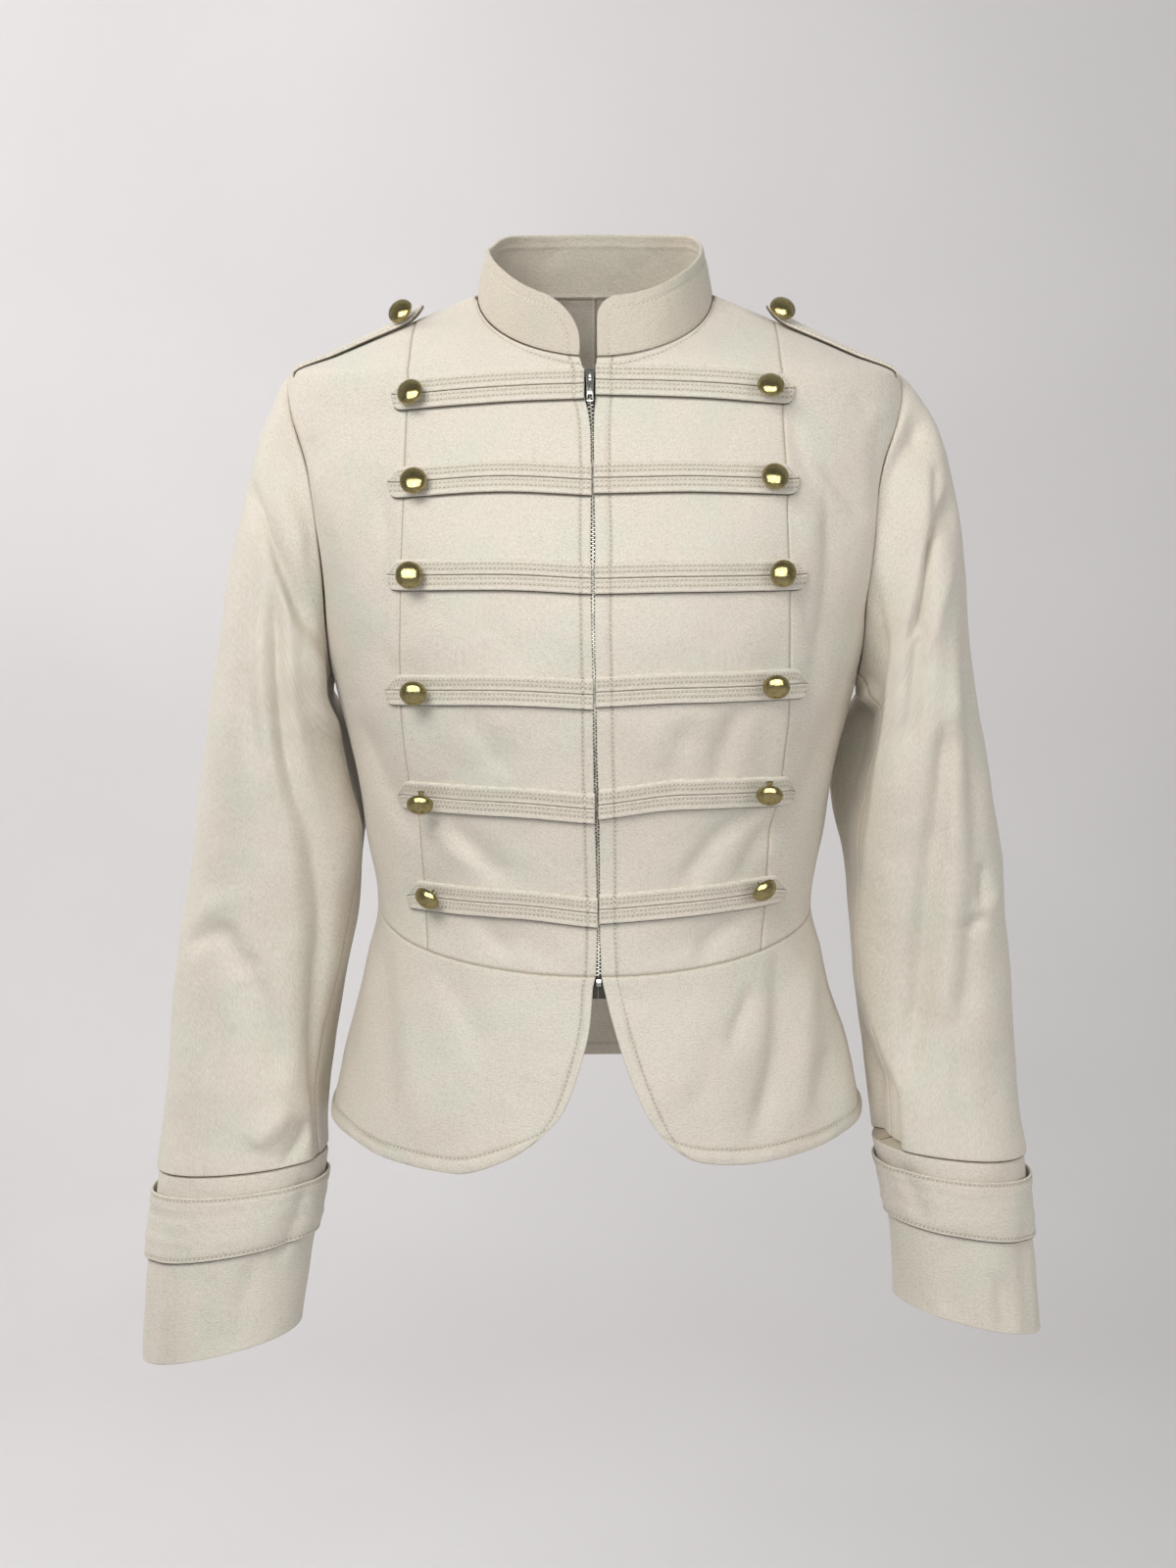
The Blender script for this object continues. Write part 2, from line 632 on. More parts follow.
def collar_path():
    """Lengths along the collar and heights of the stitches that follow its rim and rounded front ends."""
    length = collar_length()
    upright, corner, level = 8, 16, 90          # how many points follow each stretch of the rim
    halves = []
    for name in SIDES:
        wide, tall = COLLAR_CORNERS[name]
        turn = np.linspace(0, QUARTER, corner)
        along = np.concatenate([
            np.full(upright, COLLAR_STITCH), wide - (wide - COLLAR_STITCH) * np.cos(turn),
            np.linspace(wide, length / 2, level)[1:]])
        rise = smooth(COLLAR_HEIGHTS, name, along / length * 2) - COLLAR_STITCH
        rise[upright:upright + corner] -= (tall - COLLAR_STITCH) * (1 - np.sin(turn))
        rise[:upright] = np.linspace(0.5 * MM, rise[upright], upright + 1)[:upright]
        halves.append((along, rise))
    (right, right_rise), (left, left_rise) = halves
    along = np.concatenate([right, (length - left)[::-1]])
    return along, np.concatenate([right_rise, left_rise[::-1]]), length


def collar_row():
    """Points and normals of the collar's stitches."""
    along, rise, length = collar_path()
    grid = pairs(along / length, rise / collar_height(along, length))
    face = collar(grid, collar_folds(collar(grid), grid))
    return face, collar(grid, 1.0) - collar(grid)


def body(grid, out=0.0):
    return torso(grid[..., 0], grid[..., 1], out)


# ---- the cloth's own creases

# Creases by hand: a soft trough or ridge from one point to another, bowed to one side. Its far side may
# fall away wider than its near side, and a low point makes it crisp. Lengths in millimetres; on the body
# the places are the distance from the middle and the height, on a sleeve the turn and the way down.
CREASE = ("x1", "y1", "x2", "y2", "bow", "width", "far", "point", "depth")
FRONT_CREASES = table(
    CREASE,
    (112, -68, 134, -120, 4, 5, 1.6, 1.6, -1.1),  # wearer's left: shoulder to bust
    (134, -114, 127, -222, -4, 4.5, 2, 1.5, -2.5),
    (129, -96, 158, -132, 0, 3.5, 1.5, 1.6, -1.4),
    (168, -74, 166, -120, 3, 4, 1.4, 1.6, -0.6),
    (150, -58, 161, -70, 0, 4, 1.2, 1.8, -0.8),
    (112, -122, 115, -144, 0, 3, 1.5, 1.7, -0.5),
    (120, -168, 128, -208, 1, 3, 1.8, 1.6, -0.9),
    (141, -246, 112, -312, -3, 7, 1.3, 1.8, -2),
    (150, -215, 143, -252, 0, 6, 1.2, 2, -1.4),
    (118, -232, 104, -300, 3, 8, 1, 2, 1.2),
    (160, -92, 158, -178, 0, 9, 1, 2, 1.5),
    (92, -66, 64, -98, 2, 9, 1, 2, -0.5),
    (84, -234, 70, -282, 2, 7, 1.2, 2, -1.6),
    (54, -242, 44, -284, 2, 7, 1.2, 2, -1),
    (86, -300, 52, -340, 3, 6, 1.4, 1.9, -1.6),
    (104, -306, 84, -342, 2, 5, 1.4, 1.9, -1.2),
    (86, -362, 60, -386, 2, 6, 1.4, 1.9, -1.4),
    (-123, -108, -128, -214, -5, 6, 1.6, 1.8, -1.8),  # wearer's right
    (-125, -202, -117, -219, 0, 3, 1.4, 1.6, -0.8),
    (-149, -214, -144, -244, 0, 6, 1.3, 1.8, -0.8),
    (-139, -249, -108, -314, 4, 7, 1.4, 1.7, -2),
    (-166, -83, -162, -104, 0, 3, 1.3, 1.6, -0.7),
    (-143, -62, -160, -96, 2, 9, 1, 2, -0.6),
    (-118, -226, -105, -296, -3, 8, 1, 2, 0.7),
    (-96, -262, -70, -276, 1, 9, 1, 2, -0.4),
    (-78, -309, -36, -340, 2, 9, 1.2, 2, -0.5),
    (-52, -364, -24, -384, 1, 6, 1.5, 1.9, -0.6),
    (30, -384, 74, -364, 2, 7, 1.3, 2, -0.6),
    (-84, -306, -50, -336, 3, 7, 1.2, 1.9, -1.5),
    (-98, -302, -68, -332, 3, 7, 1, 2, 1.2),
    (-74, -236, -48, -272, 2, 8, 1.2, 2, -1),
    (-70, -362, -48, -382, 1, 6, 1.4, 1.9, -1.3),
    (18, -124, 60, -140, 3, 11, 1, 2, -0.4),
    (-70, -180, -24, -206, 3, 12, 1, 2, -0.4),
    (40, -250, 84, -262, -2, 11, 1, 2, -0.4),
    (-128, -380, -121, -480, 3, 11, 0.9, 2, -1.7),  # peplum, wearer's right
    (-118, -384, -104, -500, 2, 10, 1, 2, 0.8),
    (-94, -393, -64, -446, -3, 9, 1.4, 2, -1.1),
    (-38, -453, -50, -466, 1, 3, 1.4, 1.7, -0.6),
    (-58, -470, -66, -502, 0, 8, 1.2, 2, -0.5),
    (109, -388, 96, -490, -6, 6.5, 1.7, 1.8, -2.7),  # peplum, wearer's left
    (94, -406, 80, -438, 1, 4.5, 1.5, 1.6, -1.6),
    (131, -398, 126, -488, 0, 7, 1, 2, 1.3),
    (138, -398, 138, -430, 0, 4, 1.3, 1.7, -0.9),
    (151, -430, 155, -500, 0, 8, 1, 2, 2.2),
    (134, -480, 142, -452, 0, 4, 1.4, 1.8, -0.9),
    (62, -452, 70, -500, 2, 9, 1, 2, -0.6),
    (14, -404, 30, -412, 1, 3, 1.4, 1.7, -0.5),
)
BACK_CREASES = table(
    CREASE,
    (-60, -326, 52, -332, 5, 6, 1.5, 1.7, -1.3),  # drag lines in the hollow of the waist
    (-88, -346, -20, -352, -3, 5, 1.6, 1.8, -1),
    (16, -348, 92, -341, 4, 5, 1.5, 1.7, -1.1),
    (-126, -232, -92, -318, -5, 8, 1.4, 1.8, -1.3),
    (124, -236, 96, -310, 4, 8, 1.3, 1.8, -1.2),
    (-148, -120, -112, -196, 4, 8, 1.5, 1.7, -1.5),  # from the armholes to the blades
    (150, -124, 116, -190, -4, 7, 1.6, 1.7, -1.4),
    (-136, -88, -120, -132, 2, 6, 1.3, 1.8, -0.9),
    (140, -84, 122, -138, -3, 6, 1.4, 1.8, -1),
    (-52, -30, 44, -33, -4, 7, 1.3, 1.9, -0.9),  # under the collar
    (-84, -390, -92, -498, 4, 9, 1.4, 1.8, -2.4),  # flutes of the peplum
    (-40, -398, -44, -500, -2, 9, 1, 2, 1.6),
    (-4, -386, -10, -490, 2, 8, 1.5, 1.7, -2.1),
    (38, -400, 46, -500, -2, 9, 1, 2, 1.5),
    (80, -388, 88, -496, -4, 8, 1.5, 1.7, -2.3),
    (-126, -398, -134, -492, 2, 8, 1, 2, 1.3),
    (124, -394, 130, -494, -2, 8, 1, 2, 1.3),
    (-20, -150, 30, -212, 6, 14, 1, 2, -0.6),
)
SLEEVE_CREASES = {"right": table(
    CREASE,
    (28, 64, 124, 25, -1, 5.5, 1.6, 1.6, -4.2),  # from the head down to the front seam
    (38, 26, 100, 2, 2, 6.5, 1.5, 1.8, -2.8),
    (60, 30, 96, 16, 0, 7, 1.2, 2, 1.5),
    (89, 62, 112, 250, 1, 7.5, 1.3, 1.7, -5),  # the long fold down the front
    (112, 236, 143, 452, 2, 7, 1.4, 1.6, -4.8),
    (80, 110, 99, 250, 1, 6, 1.3, 1.9, 1.3),
    (97, 240, 109, 350, 0, 6, 1.2, 1.9, 1.2),
    (54, 85, 91, 236, 1, 6, 1.4, 1.9, -1.3),
    (91, 232, 107, 350, 1, 6, 1.3, 1.9, -1.3),
    (160, 110, 153, 322, 0, 14, 1, 2.4, 3.2),
    (130, 14, 150, 165, 0, 12, 1, 2.4, 4.2),
    (34, 350, 70, 338, 2, 5, 1.6, 1.7, -1.8),  # the elbow
    (66, 336, 88, 364, -1, 6, 1.5, 1.8, -1.8),
    (86, 358, 112, 434, 1, 6, 1.4, 1.7, -2.5),
    (44, 330, 76, 318, 0, 8, 1, 2, 1),
    (78, 398, 65, 434, 1, 3.5, 1.4, 1.7, -0.9),
    (120, 453, 98, 473, 1, 8, 1.1, 2, 2.8),  # the puff above the cuff
    (142, 463, 121, 487, 2, 4.5, 1.6, 1.6, -2.4),
    (-30, 70, -58, 262, -5, 9, 1.4, 1.8, -2),  # the hidden side
    (-66, 120, -50, 330, 4, 9, 1.2, 2, -1.5),
    (-22, 332, -84, 376, 5, 6, 1.7, 1.6, -2.6),
    (-92, 300, -40, 352, -4, 7, 1.5, 1.7, -1.7),
    (-20, 420, -34, 486, 2, 7, 1.3, 1.8, -1.3),
    (-74, 410, -88, 484, 0, 8, 1.2, 1.9, -1.4),
    (-40, 20, -92, 8, 3, 6, 1.4, 1.8, -1.4),
    (10, 120, 22, 300, 2, 10, 1.2, 2, -0.9),
), "left": table(
    CREASE,
    (28, 29, 92, 2, 3, 6, 1.5, 1.6, -7.2),  # drag lines from the sleeve's head
    (38, 41, 62, 48, 2, 4.5, 1.4, 1.7, -2),
    (30, 73, 74, 56, 3, 6.5, 1.5, 1.6, -4.4),
    (68, 54, 95, 90, 1, 7, 1.5, 1.6, -4.2),
    (91, 76, 105, 206, 1, 7.5, 1.5, 1.8, -3.8),
    (52, 46, 86, 30, 1, 7, 1.1, 2, 1.3),
    (46, 90, 84, 130, 4, 9, 1, 2, 1),
    (70, 196, 87, 296, 1, 7, 1.4, 1.8, -4.4),  # the valley and the long ridge beside it
    (86, 282, 115, 440, 1, 7, 1.5, 1.7, -5.4),
    (56, 150, 80, 316, 1, 6.5, 1.3, 1.9, 2.6),
    (79, 308, 92, 404, 0, 6.5, 1.2, 1.9, 2.2),
    (36, 160, 58, 314, 1, 6, 1.4, 1.8, -2.3),
    (56, 306, 76, 404, 1, 6, 1.5, 1.8, -1.7),
    (110, 230, 128, 330, 0, 9, 1, 2, 1),
    (28, 316, 54, 329, 0, 3.5, 1.3, 1.7, 0.8),  # the elbow's kink
    (47, 296, 52, 326, 1, 2.8, 1.7, 1.5, -2.4),
    (49, 331, 71, 339, 0, 3, 1.6, 1.6, -2.5),
    (82, 428, 84, 454, 0, 4, 1.3, 1.8, -0.8),
    (20, 100, 34, 240, 3, 9, 1.2, 2, -1.2),
    (-26, 60, -52, 250, 4, 9, 1.4, 1.8, -2),  # the hidden side
    (-80, 90, -66, 300, -4, 8, 1.4, 1.8, -1.7),
    (-16, 318, -78, 352, -5, 5, 1.9, 1.5, -2.7),
    (-98, 330, -46, 300, 3, 7, 1.4, 1.7, -1.8),
    (-30, 396, -44, 486, -2, 7, 1.3, 1.8, -1.5),
    (-84, 400, -76, 480, 2, 8, 1.2, 1.9, -1.2),
    (-48, 8, -96, 22, -3, 6, 1.4, 1.8, -1.6),
)}
# the inner side falls back from the front face: where it starts, how far
SLEEVE_HOLLOWS = {"right": table(
    ("down", "start", "depth"),
    (0.300, 128, 0.0),
    (0.360, 121, 2.5),
    (0.410, 131, 6.0),
    (0.450, 138, 7.5),
    (0.490, 143, 3.0),
    (0.560, 150, 0.0),
), "left": table(
    ("down", "start", "depth"),
    (0.000, 88, 0.0),
    (0.015, 98, 3.0),
    (0.030, 110, 5.5),
    (0.090, 125, 11.0),
    (0.180, 130, 12.0),
    (0.255, 133, 10.0),
    (0.300, 139, 6.0),
    (0.342, 152, 2.0),
    (0.385, 160, 1.0),
    (0.425, 141, 6.0),
    (0.455, 125, 13.0),
    (0.486, 127, 11.0),
    (0.560, 138, 0.0),
)}
HOLLOW_END = math.radians(203)
HOLLOW_EDGE = 0.26          # radians over which it falls back
ARMPIT_TURN = math.radians(153)     # from here on it stays full beside the armhole
ARMPIT_DOWN = 0.055
ARMPIT_FADES = (0.2, 0.05)  # radians and length over which that gives way
HOLLOW_RETURN = 0.4         # radians over which the inner side comes back
SLEEVE_CALM = 0.03          # its creases start softly over this length
CUFF_CREASES = {"right": table(
    CREASE,
    (28, 500, 34, 612, 2, 8, 1, 2, -1),
    (78, 556, 84, 612, 0, 7, 1.3, 1.9, -0.9),
    (112, 548, 104, 612, -2, 6, 1.6, 1.7, -1.4),
    (140, 500, 128, 560, 3, 6, 1.5, 1.7, -1.5),
    (-40, 500, -46, 612, 0, 8, 1, 2, -1.1),
    (-96, 520, -88, 612, 2, 7, 1.3, 1.8, -1),
    (196, 500, 204, 612, 0, 8, 1.2, 2, -1.1),
), "left": table(
    CREASE,
    (36, 520, 40, 612, 1, 8, 1, 2, -1),
    (70, 572, 66, 612, 0, 5, 1.6, 1.7, -1.3),
    (96, 545, 104, 612, 2, 7, 1.3, 1.9, -0.9),
    (134, 498, 124, 540, -2, 6, 1.4, 1.8, -1.2),
    (-52, 505, -44, 612, 0, 8, 1, 2, -1.1),
    (-102, 510, -110, 612, -2, 7, 1.3, 1.8, -1),
    (190, 500, 196, 612, 0, 8, 1.2, 2, -1),
)}
CREASE_GAIN = 1.6
CREASE_PAST = 0.14          # share of its length by which a crease runs on past each end
CREASE_FADE = 0.40          # share over which it fades there
SLEEVE_RADIUS = 0.048       # turns a sleeve's angle into a length
INNER_SWING = 10.5 * MM     # a sleeve's back bulges in towards the waist, round one place
INNER_TURN = (math.radians(213), 0.42)
INNER_DOWN = (0.208, 0.080)
HEAD_DOWN = (0.012, 0.009)  # where the sleeve's head is eased in, and over what length
HEAD_EASE = (0.9 * MM, 0.5 * MM)    # how far it stands out, and how much more at its top
BAG_LENGTH = 0.016          # the cloth bags above the cuff's seam
BAG_DEPTH = 1.6 * MM
SIDE_BLEND = 0.06           # depth over which the front's creases give way to the back's
SHOULDER_CALM = (0.004, 0.05)       # the shoulder seam lies smooth: where folds start, and over what height
PEPLUM_FALL = (0.40, 0.09)          # the peplum falls more loosely: from where, and over what height
UNEVENNESS = (0.75, 0.70)           # how uneven the bodice is, and how much more the hem
BAND_CLEAR = 0.2 * MM
BAND_OUTER = (0.3, 8, 1.3 * MM)     # where round the cuff its band stands off: turn, squareness and depth
BAND_INNER = (2.5, 0.5, 1.2 * MM)   # the same at the inner side: turn, width and depth
BAND_DARK = (0.27, 0.045, 0.8 * MM)     # the pressed line: its share of the width, its own and its depth
BAND_LIGHT = (0.72, 0.07, 0.7 * MM)
WAVES = table(              # the cloth's slight unevenness: direction, wavelength and phase of each wave
    ("x", "y", "z", "length", "phase", "height"),
    (0.9, 0.3, 0.5, 0.118, 0.4, 0.42),
    (-0.6, 0.2, 0.8, 0.083, 1.9, 0.34),
    (0.2, -0.7, 0.9, 0.061, 3.1, 0.26),
    (0.8, 0.5, -0.7, 0.046, 5.0, 0.20),
    (-0.3, 0.9, 0.4, 0.034, 2.3, 0.12),
    (0.5, -0.2, -0.9, 0.024, 0.9, 0.07),
)


def ease(share):
    share = np.clip(share, 0, 1)
    return share * share * (3 - 2 * share)


def creases(rows, across, along):
    """Relief of a table of creases, in metres."""
    total = np.zeros(np.shape(across))
    for x1, y1, x2, y2, bow, width, far, point, depth in zip(*rows.values()):
        run = np.array([x2 - x1, y2 - y1]) * MM
        length = np.hypot(*run)
        run = run / length
        x, y = across - x1 * MM, along - y1 * MM
        share = (x * run[0] + y * run[1]) / length
        inside = np.clip(share, 0, 1)
        aside = x * run[1] - y * run[0] - bow * MM * 4 * inside * (1 - inside)
        spread = width * MM * np.where(aside > 0, 1.0, far)
        fade = ease((share + CREASE_PAST) / CREASE_FADE) * ease((1 + CREASE_PAST - share) / CREASE_FADE)
        total += CREASE_GAIN * depth * MM * fade * np.exp(-np.abs(aside / spread) ** point)
    return total


def hump(place, middle, width, squareness=2):
    """A smooth rise to 1 about a middle."""
    return np.exp(-((place - middle) / width) ** squareness)


def sleeve_creases(rows, grid):
    """The same round a sleeve, whose creases start at a turn in degrees."""
    lengthwise = SLEEVE_RADIUS * math.radians(1) / MM
    rows = {**rows, "x1": rows["x1"] * lengthwise, "x2": rows["x2"] * lengthwise}
    total = 0.0
    for lap in (-1, 0, 1):
        total = total + creases(rows, (grid[..., 1] + lap * 4 * QUARTER) * SLEEVE_RADIUS, grid[..., 0])
    return total


def uneven(points):
    total = np.zeros(points.shape[:-1])
    for x, y, z, length, phase, height in zip(*WAVES.values()):
        place = points @ np.array([x, y, z]) / length
        total += height * MM * np.sin(4 * QUARTER * place + phase)
    return total


def body_folds(points, grid):
    """Relief of the body's cloth: the fronts' creases, the back's, and a slight unevenness."""
    x, y, z = points[..., 0], points[..., 1], points[..., 2]
    front = ease(0.5 - (y - section(z)[3]) / SIDE_BLEND)
    calm = ease((-z - SHOULDER_CALM[0]) / SHOULDER_CALM[1])
    relief = front * creases(FRONT_CREASES, x, z) + (1 - front) * creases(BACK_CREASES, x, z)
    hem = ease((-z - PEPLUM_FALL[0]) / PEPLUM_FALL[1])
    return calm * (relief + (UNEVENNESS[0] + UNEVENNESS[1] * hem) * uneven(points))


def collar_folds(points, grid):
    """Relief of the collar: slightly crowned and uneven, and drawn in along its stitches."""
    share, rise = grid[..., 0], grid[..., 1]
    along, height, length = collar_path()
    place = share * length
    level = rise * collar_height(place, length)
    aside = np.full(np.shape(place), 1.0)
    for x, z, wide, tall in zip(along, height, np.diff(along), np.diff(height)):
        run = np.hypot(wide, tall)
        if run > 0:
            wide, tall = wide / run, tall / run
            ahead = np.clip((place - x) * wide + (level - z) * tall, 0, run)
            aside = np.minimum(aside, np.hypot(place - x - ahead * wide, level - z - ahead * tall))
    crown = COLLAR_CROWN * np.sin(QUARTER * 2 * rise) + 0.5 * uneven(points * 1.6) * ease(rise * 1.5)
    return crown - THREAD_DIP * hump(aside, 0, THREAD_WIDTH)


def sleeve_folds(name, points, grid):
    """Relief of a sleeve: its creases, its eased head and the cloth that bags above the cuff."""
    down, turn = grid[..., 0], grid[..., 1]
    calm = ease(down / SLEEVE_CALM)
    cuff = ease((down - CUFF_SEAM + MM) / MM)
    head = hump(down, *HEAD_DOWN) * (HEAD_EASE[0] + HEAD_EASE[1] * np.cos(turn))
    bag = hump(down, CUFF_SEAM, BAG_LENGTH) * BAG_DEPTH
    swing = INNER_SWING * hump(turn, *INNER_TURN) * hump(down, *INNER_DOWN, 4)
    arm = (0.3 + 0.7 * calm) * sleeve_creases(SLEEVE_CREASES[name], grid) + head + bag + swing
    hand = sleeve_creases(CUFF_CREASES[name], grid)
    hollow = SLEEVE_HOLLOWS[name]
    start = np.radians(np.interp(down, hollow["down"], hollow["start"]))
    deep = np.interp(down, hollow["down"], hollow["depth"]) * MM
    aside, below = ARMPIT_FADES
    armpit = ease((turn - ARMPIT_TURN) / aside) * (1 - ease((down - ARMPIT_DOWN) / below))
    inner = deep * ease((turn - start) / HOLLOW_EDGE) * ease((HOLLOW_END - turn) / HOLLOW_RETURN)
    inner = inner * (1 - armpit)
    return np.where(down > CUFF_SEAM, cuff * hand, arm - inner) + calm * uneven(points)


def band_lift(grid):
    """How the cuff's band stands off: loose along its top at both sides, with pressed lines round it."""
    share = (grid[..., 0] - CUFF_BAND[0]) / (CUFF_BAND[1] - CUFF_BAND[0])
    turn = grid[..., 1]
    outer = BAND_OUTER[2] * np.cos((turn - BAND_OUTER[0]) / 2) ** BAND_OUTER[1]
    inner = BAND_INNER[2] * hump(turn, *BAND_INNER[:2])
    loose = (outer + inner) * (1 - ease(share * 1.1)) + BAND_CLEAR
    faint = 0.65 + 0.35 * np.sin(2.3 * turn + 0.7)
    dark = BAND_DARK[2] * hump(share, BAND_DARK[0] + 0.03 * np.sin(turn * 1.5), BAND_DARK[1])
    light = BAND_LIGHT[2] * hump(share, BAND_LIGHT[0] - 0.03 * np.sin(turn + 1), BAND_LIGHT[1])
    return loose + (light - dark) * faint


# ---- cloth on a fine grid

RIM_PLACES = np.array([0.0, 0.15, 0.45, 0.9, 1.5, 2.4]) * MM
LIP_PLACES = np.array([0.0, 0.3, 0.50, 0.58, 0.72, 1.0, 1.6, 2.6]) * MM
ROW_PLACES = np.array([-1.5, -0.7, 0.0, 0.7, 1.5]) * MM
ROW_CLEAR = 2.2 * MM
LIP = 0.54 * MM             # an under layer shows this far beyond a folded edge
LIP_WALL = 0.4 * MM
SEAM_DIPS = {"seam": 0.75 * MM, "soft": 0.35 * MM, "tuck": 0.9 * MM}    # how far each sinks into the cloth
SEAM_WIDTH = MM
SEAM_SHADE = 0.6
SLIT_WIDTH = 0.55 * MM
SLIT_SHADE = 0.9
COLLAR_SHADE = 0.20         # the collar's cloth looks a little deeper in tone
COLLAR_CROWN = 0.35 * MM
ROLL_UNDER = 0.96           # a fold's inner face rolls nearly as far as its outer one
THREAD_DIP = 0.55 * MM      # the groove that a row of stitches pulls
THREAD_WIDTH = 0.85 * MM
THREAD_SHADE = 0.30


def spaced(length, step, extra, start, end):
    """Places along a length: crowded at both ends and at the stitch rows, otherwise a step apart."""
    count = max(int(round((length - start[-1] - end[-1]) / step)), 2)
    middle = np.linspace(start[-1], length - end[-1], count + 1)
    for place in extra:
        rows = place + ROW_PLACES
        rows = rows[(rows > start[-1]) & (rows < length - end[-1])]
        middle = middle[np.min(np.abs(middle[:, None] - place), axis=1) > ROW_CLEAR]
        middle = np.sort(np.concatenate([middle, rows]))
    return np.concatenate([start[:-1], middle, length - end[-2::-1]])


def read_at(grid, places, axis):
    """A grid read at fractional places along one axis."""
    low = np.clip(places.astype(int), 0, grid.shape[axis] - 2)
    share = (places - low).reshape([-1 if index == axis else 1 for index in range(grid.ndim)])
    return np.take(grid, low, axis) * (1 - share) + np.take(grid, low + 1, axis) * share


def rounding(distance, wall):
    """How far a face falls back at a rolled edge."""
    radius = wall / 2
    near = np.clip(1 - distance / radius, 0, 1)
    return radius * (1 - np.sqrt(1 - near**2))


class Cloth:
    """A sewn piece on a fine grid: its outer and inner face, and how far each point is from each rim.

    A rim is a seam, which sinks and meets its neighbour; a soft one, which sinks less; a tuck, which
    slips under it; a fold, which is rolled; a hem, which is a fold that also swells; a slit, which
    shows a dark line; or a lip, where an under layer shows beyond the fold. A tube has no left or
    right rim. Each row of stitches is a rim, a distance from it and perhaps a test of its points.
    """

    def __init__(self, form, grid, step, wall=CLOTH, rims=None, folds=None, tube=False, rows=()):
        self.tube = tube
        self.rims = {"top": "seam", "bottom": "seam", "left": "seam", "right": "seam", **(rims or {})}
        grid = self.grid = self.refined(form, grid, step, rows)
        flat = form(grid, np.zeros(grid.shape[:2]))
        down, across = lengths(flat, 0), lengths(flat, 1)
        self.reach = {"top": down, "bottom": down[-1] - down,
                      "left": across, "right": across[:, -1:] - across}
        self.flat_area = area_of(flat)
        self.cut = (float(across[:, -1].max()), float(down[-1].max()))
        outer = np.zeros(grid.shape[:2]) if folds is None else folds(flat, grid)
        inner = outer - wall
        self.shade = np.zeros(grid.shape[:2])
        for rim, kind in self.rims.items():
            if not (tube and rim in ("left", "right")):
                fall, under = self.at_rim(self.reach[rim], kind, wall, flat)
                outer, inner = outer - fall, inner - under
        for rim, distance, *keep in rows:
            groove = hump(self.reach[rim], distance, THREAD_WIDTH)
            groove = groove * keep[0](flat) if keep else groove
            outer = outer - THREAD_DIP * groove
            self.darken(THREAD_SHADE * groove)
        self.outer, self.inner = form(grid, outer), form(grid, inner)
        away = form(grid, outer + MM) - self.outer
        if tube:
            wrapped = np.concatenate([self.outer[:, -2:-1], self.outer, self.outer[:, 1:2]], axis=1)
            turning = np.gradient(wrapped, axis=1)[:, 1:-1]
        else:
            turning = np.gradient(self.outer, axis=1)
        normal = np.cross(np.gradient(self.outer, axis=0), turning)
        normal *= np.sign(np.sum(normal * away, -1, keepdims=True))
        self.normal = normal / np.maximum(np.linalg.norm(normal, axis=-1, keepdims=True), 1e-12)

    def refined(self, form, grid, step, rows):
        """The coarse grid read again at a finer spacing, crowded at its rims and rows of stitches."""
        flat = form(grid, np.zeros(grid.shape[:2]))
        for axis, (start, end) in ((0, ("top", "bottom")), (1, ("left", "right"))):
            run = lengths(flat, axis).mean(axis=1 - axis)
            if axis == 1 and self.tube:
                places = np.linspace(0, run[-1], max(int(run[-1] / step), 12) + 1)
            else:
                extra = [distance if rim == start else run[-1] - distance
                         for rim, distance, *_ in rows if rim in (start, end)]
                near = [LIP_PLACES if self.rims[rim] == "lip" else RIM_PLACES for rim in (start, end)]
                places = spaced(run[-1], step, extra, *near)
            grid = read_at(grid, np.interp(places, run, np.arange(len(run))), axis)
        return grid

    def at_rim(self, reach, kind, wall, flat):
        """How far the outer and the inner face fall back at a rim."""
        if kind in SEAM_DIPS:
            near = hump(reach, 0, SEAM_WIDTH)
            self.darken(min(SEAM_DIPS[kind] / MM, 1.0) * SEAM_SHADE * near**3)
            return SEAM_DIPS[kind] * near, SEAM_DIPS[kind] * near
        if kind == "slit":
            self.darken(SLIT_SHADE * hump(reach, 0, SLIT_WIDTH))
            return rounding(reach, wall), 0.0
        if kind == "lip":
            self.darken(np.where(reach < LIP, 1.0, 0.0))
            return np.where(reach < LIP, wall - LIP_WALL, rounding(reach - LIP, wall)), 0.0
        roll = rounding(reach, wall)
        if kind == "fold":
            return roll, -roll * ROLL_UNDER
        swell = np.sin(2 * QUARTER * np.clip(reach / HEM_STITCH, 0, 1))
        swell = HEM_SWELL * swell * (0.75 + 0.25 * np.sin(flat[..., 0] / (2 * MM)))
        return roll - swell, -roll * ROLL_UNDER

    def darken(self, shade):
        self.shade = np.maximum(self.shade, shade)

    def beside(self, rim, distance, clear_of=None, clear=0.0):
        """Points and normals of the line at a distance from a rim, and clear of another rim."""
        grids = self.outer, self.normal, self.reach[rim], self.reach[clear_of or rim]
        if rim in ("top", "bottom"):
            grids = [grid.swapaxes(0, 1) for grid in grids]
        if rim in ("bottom", "right"):
            grids = [grid[:, ::-1] for grid in grids]
        points, normals, reach, other = grids
        line, out = [], []
        for row in range(len(points)):
            place = np.interp(distance, reach[row], np.arange(reach.shape[1]))
            low = min(int(place), reach.shape[1] - 2)
            share = place - low
            if clear_of and other[row, low] < clear:
                continue
            line.append(points[row, low] * (1 - share) + points[row, low + 1] * share)
            out.append(normals[row, low] * (1 - share) + normals[row, low + 1] * share)
        return np.array(line), np.array(out)


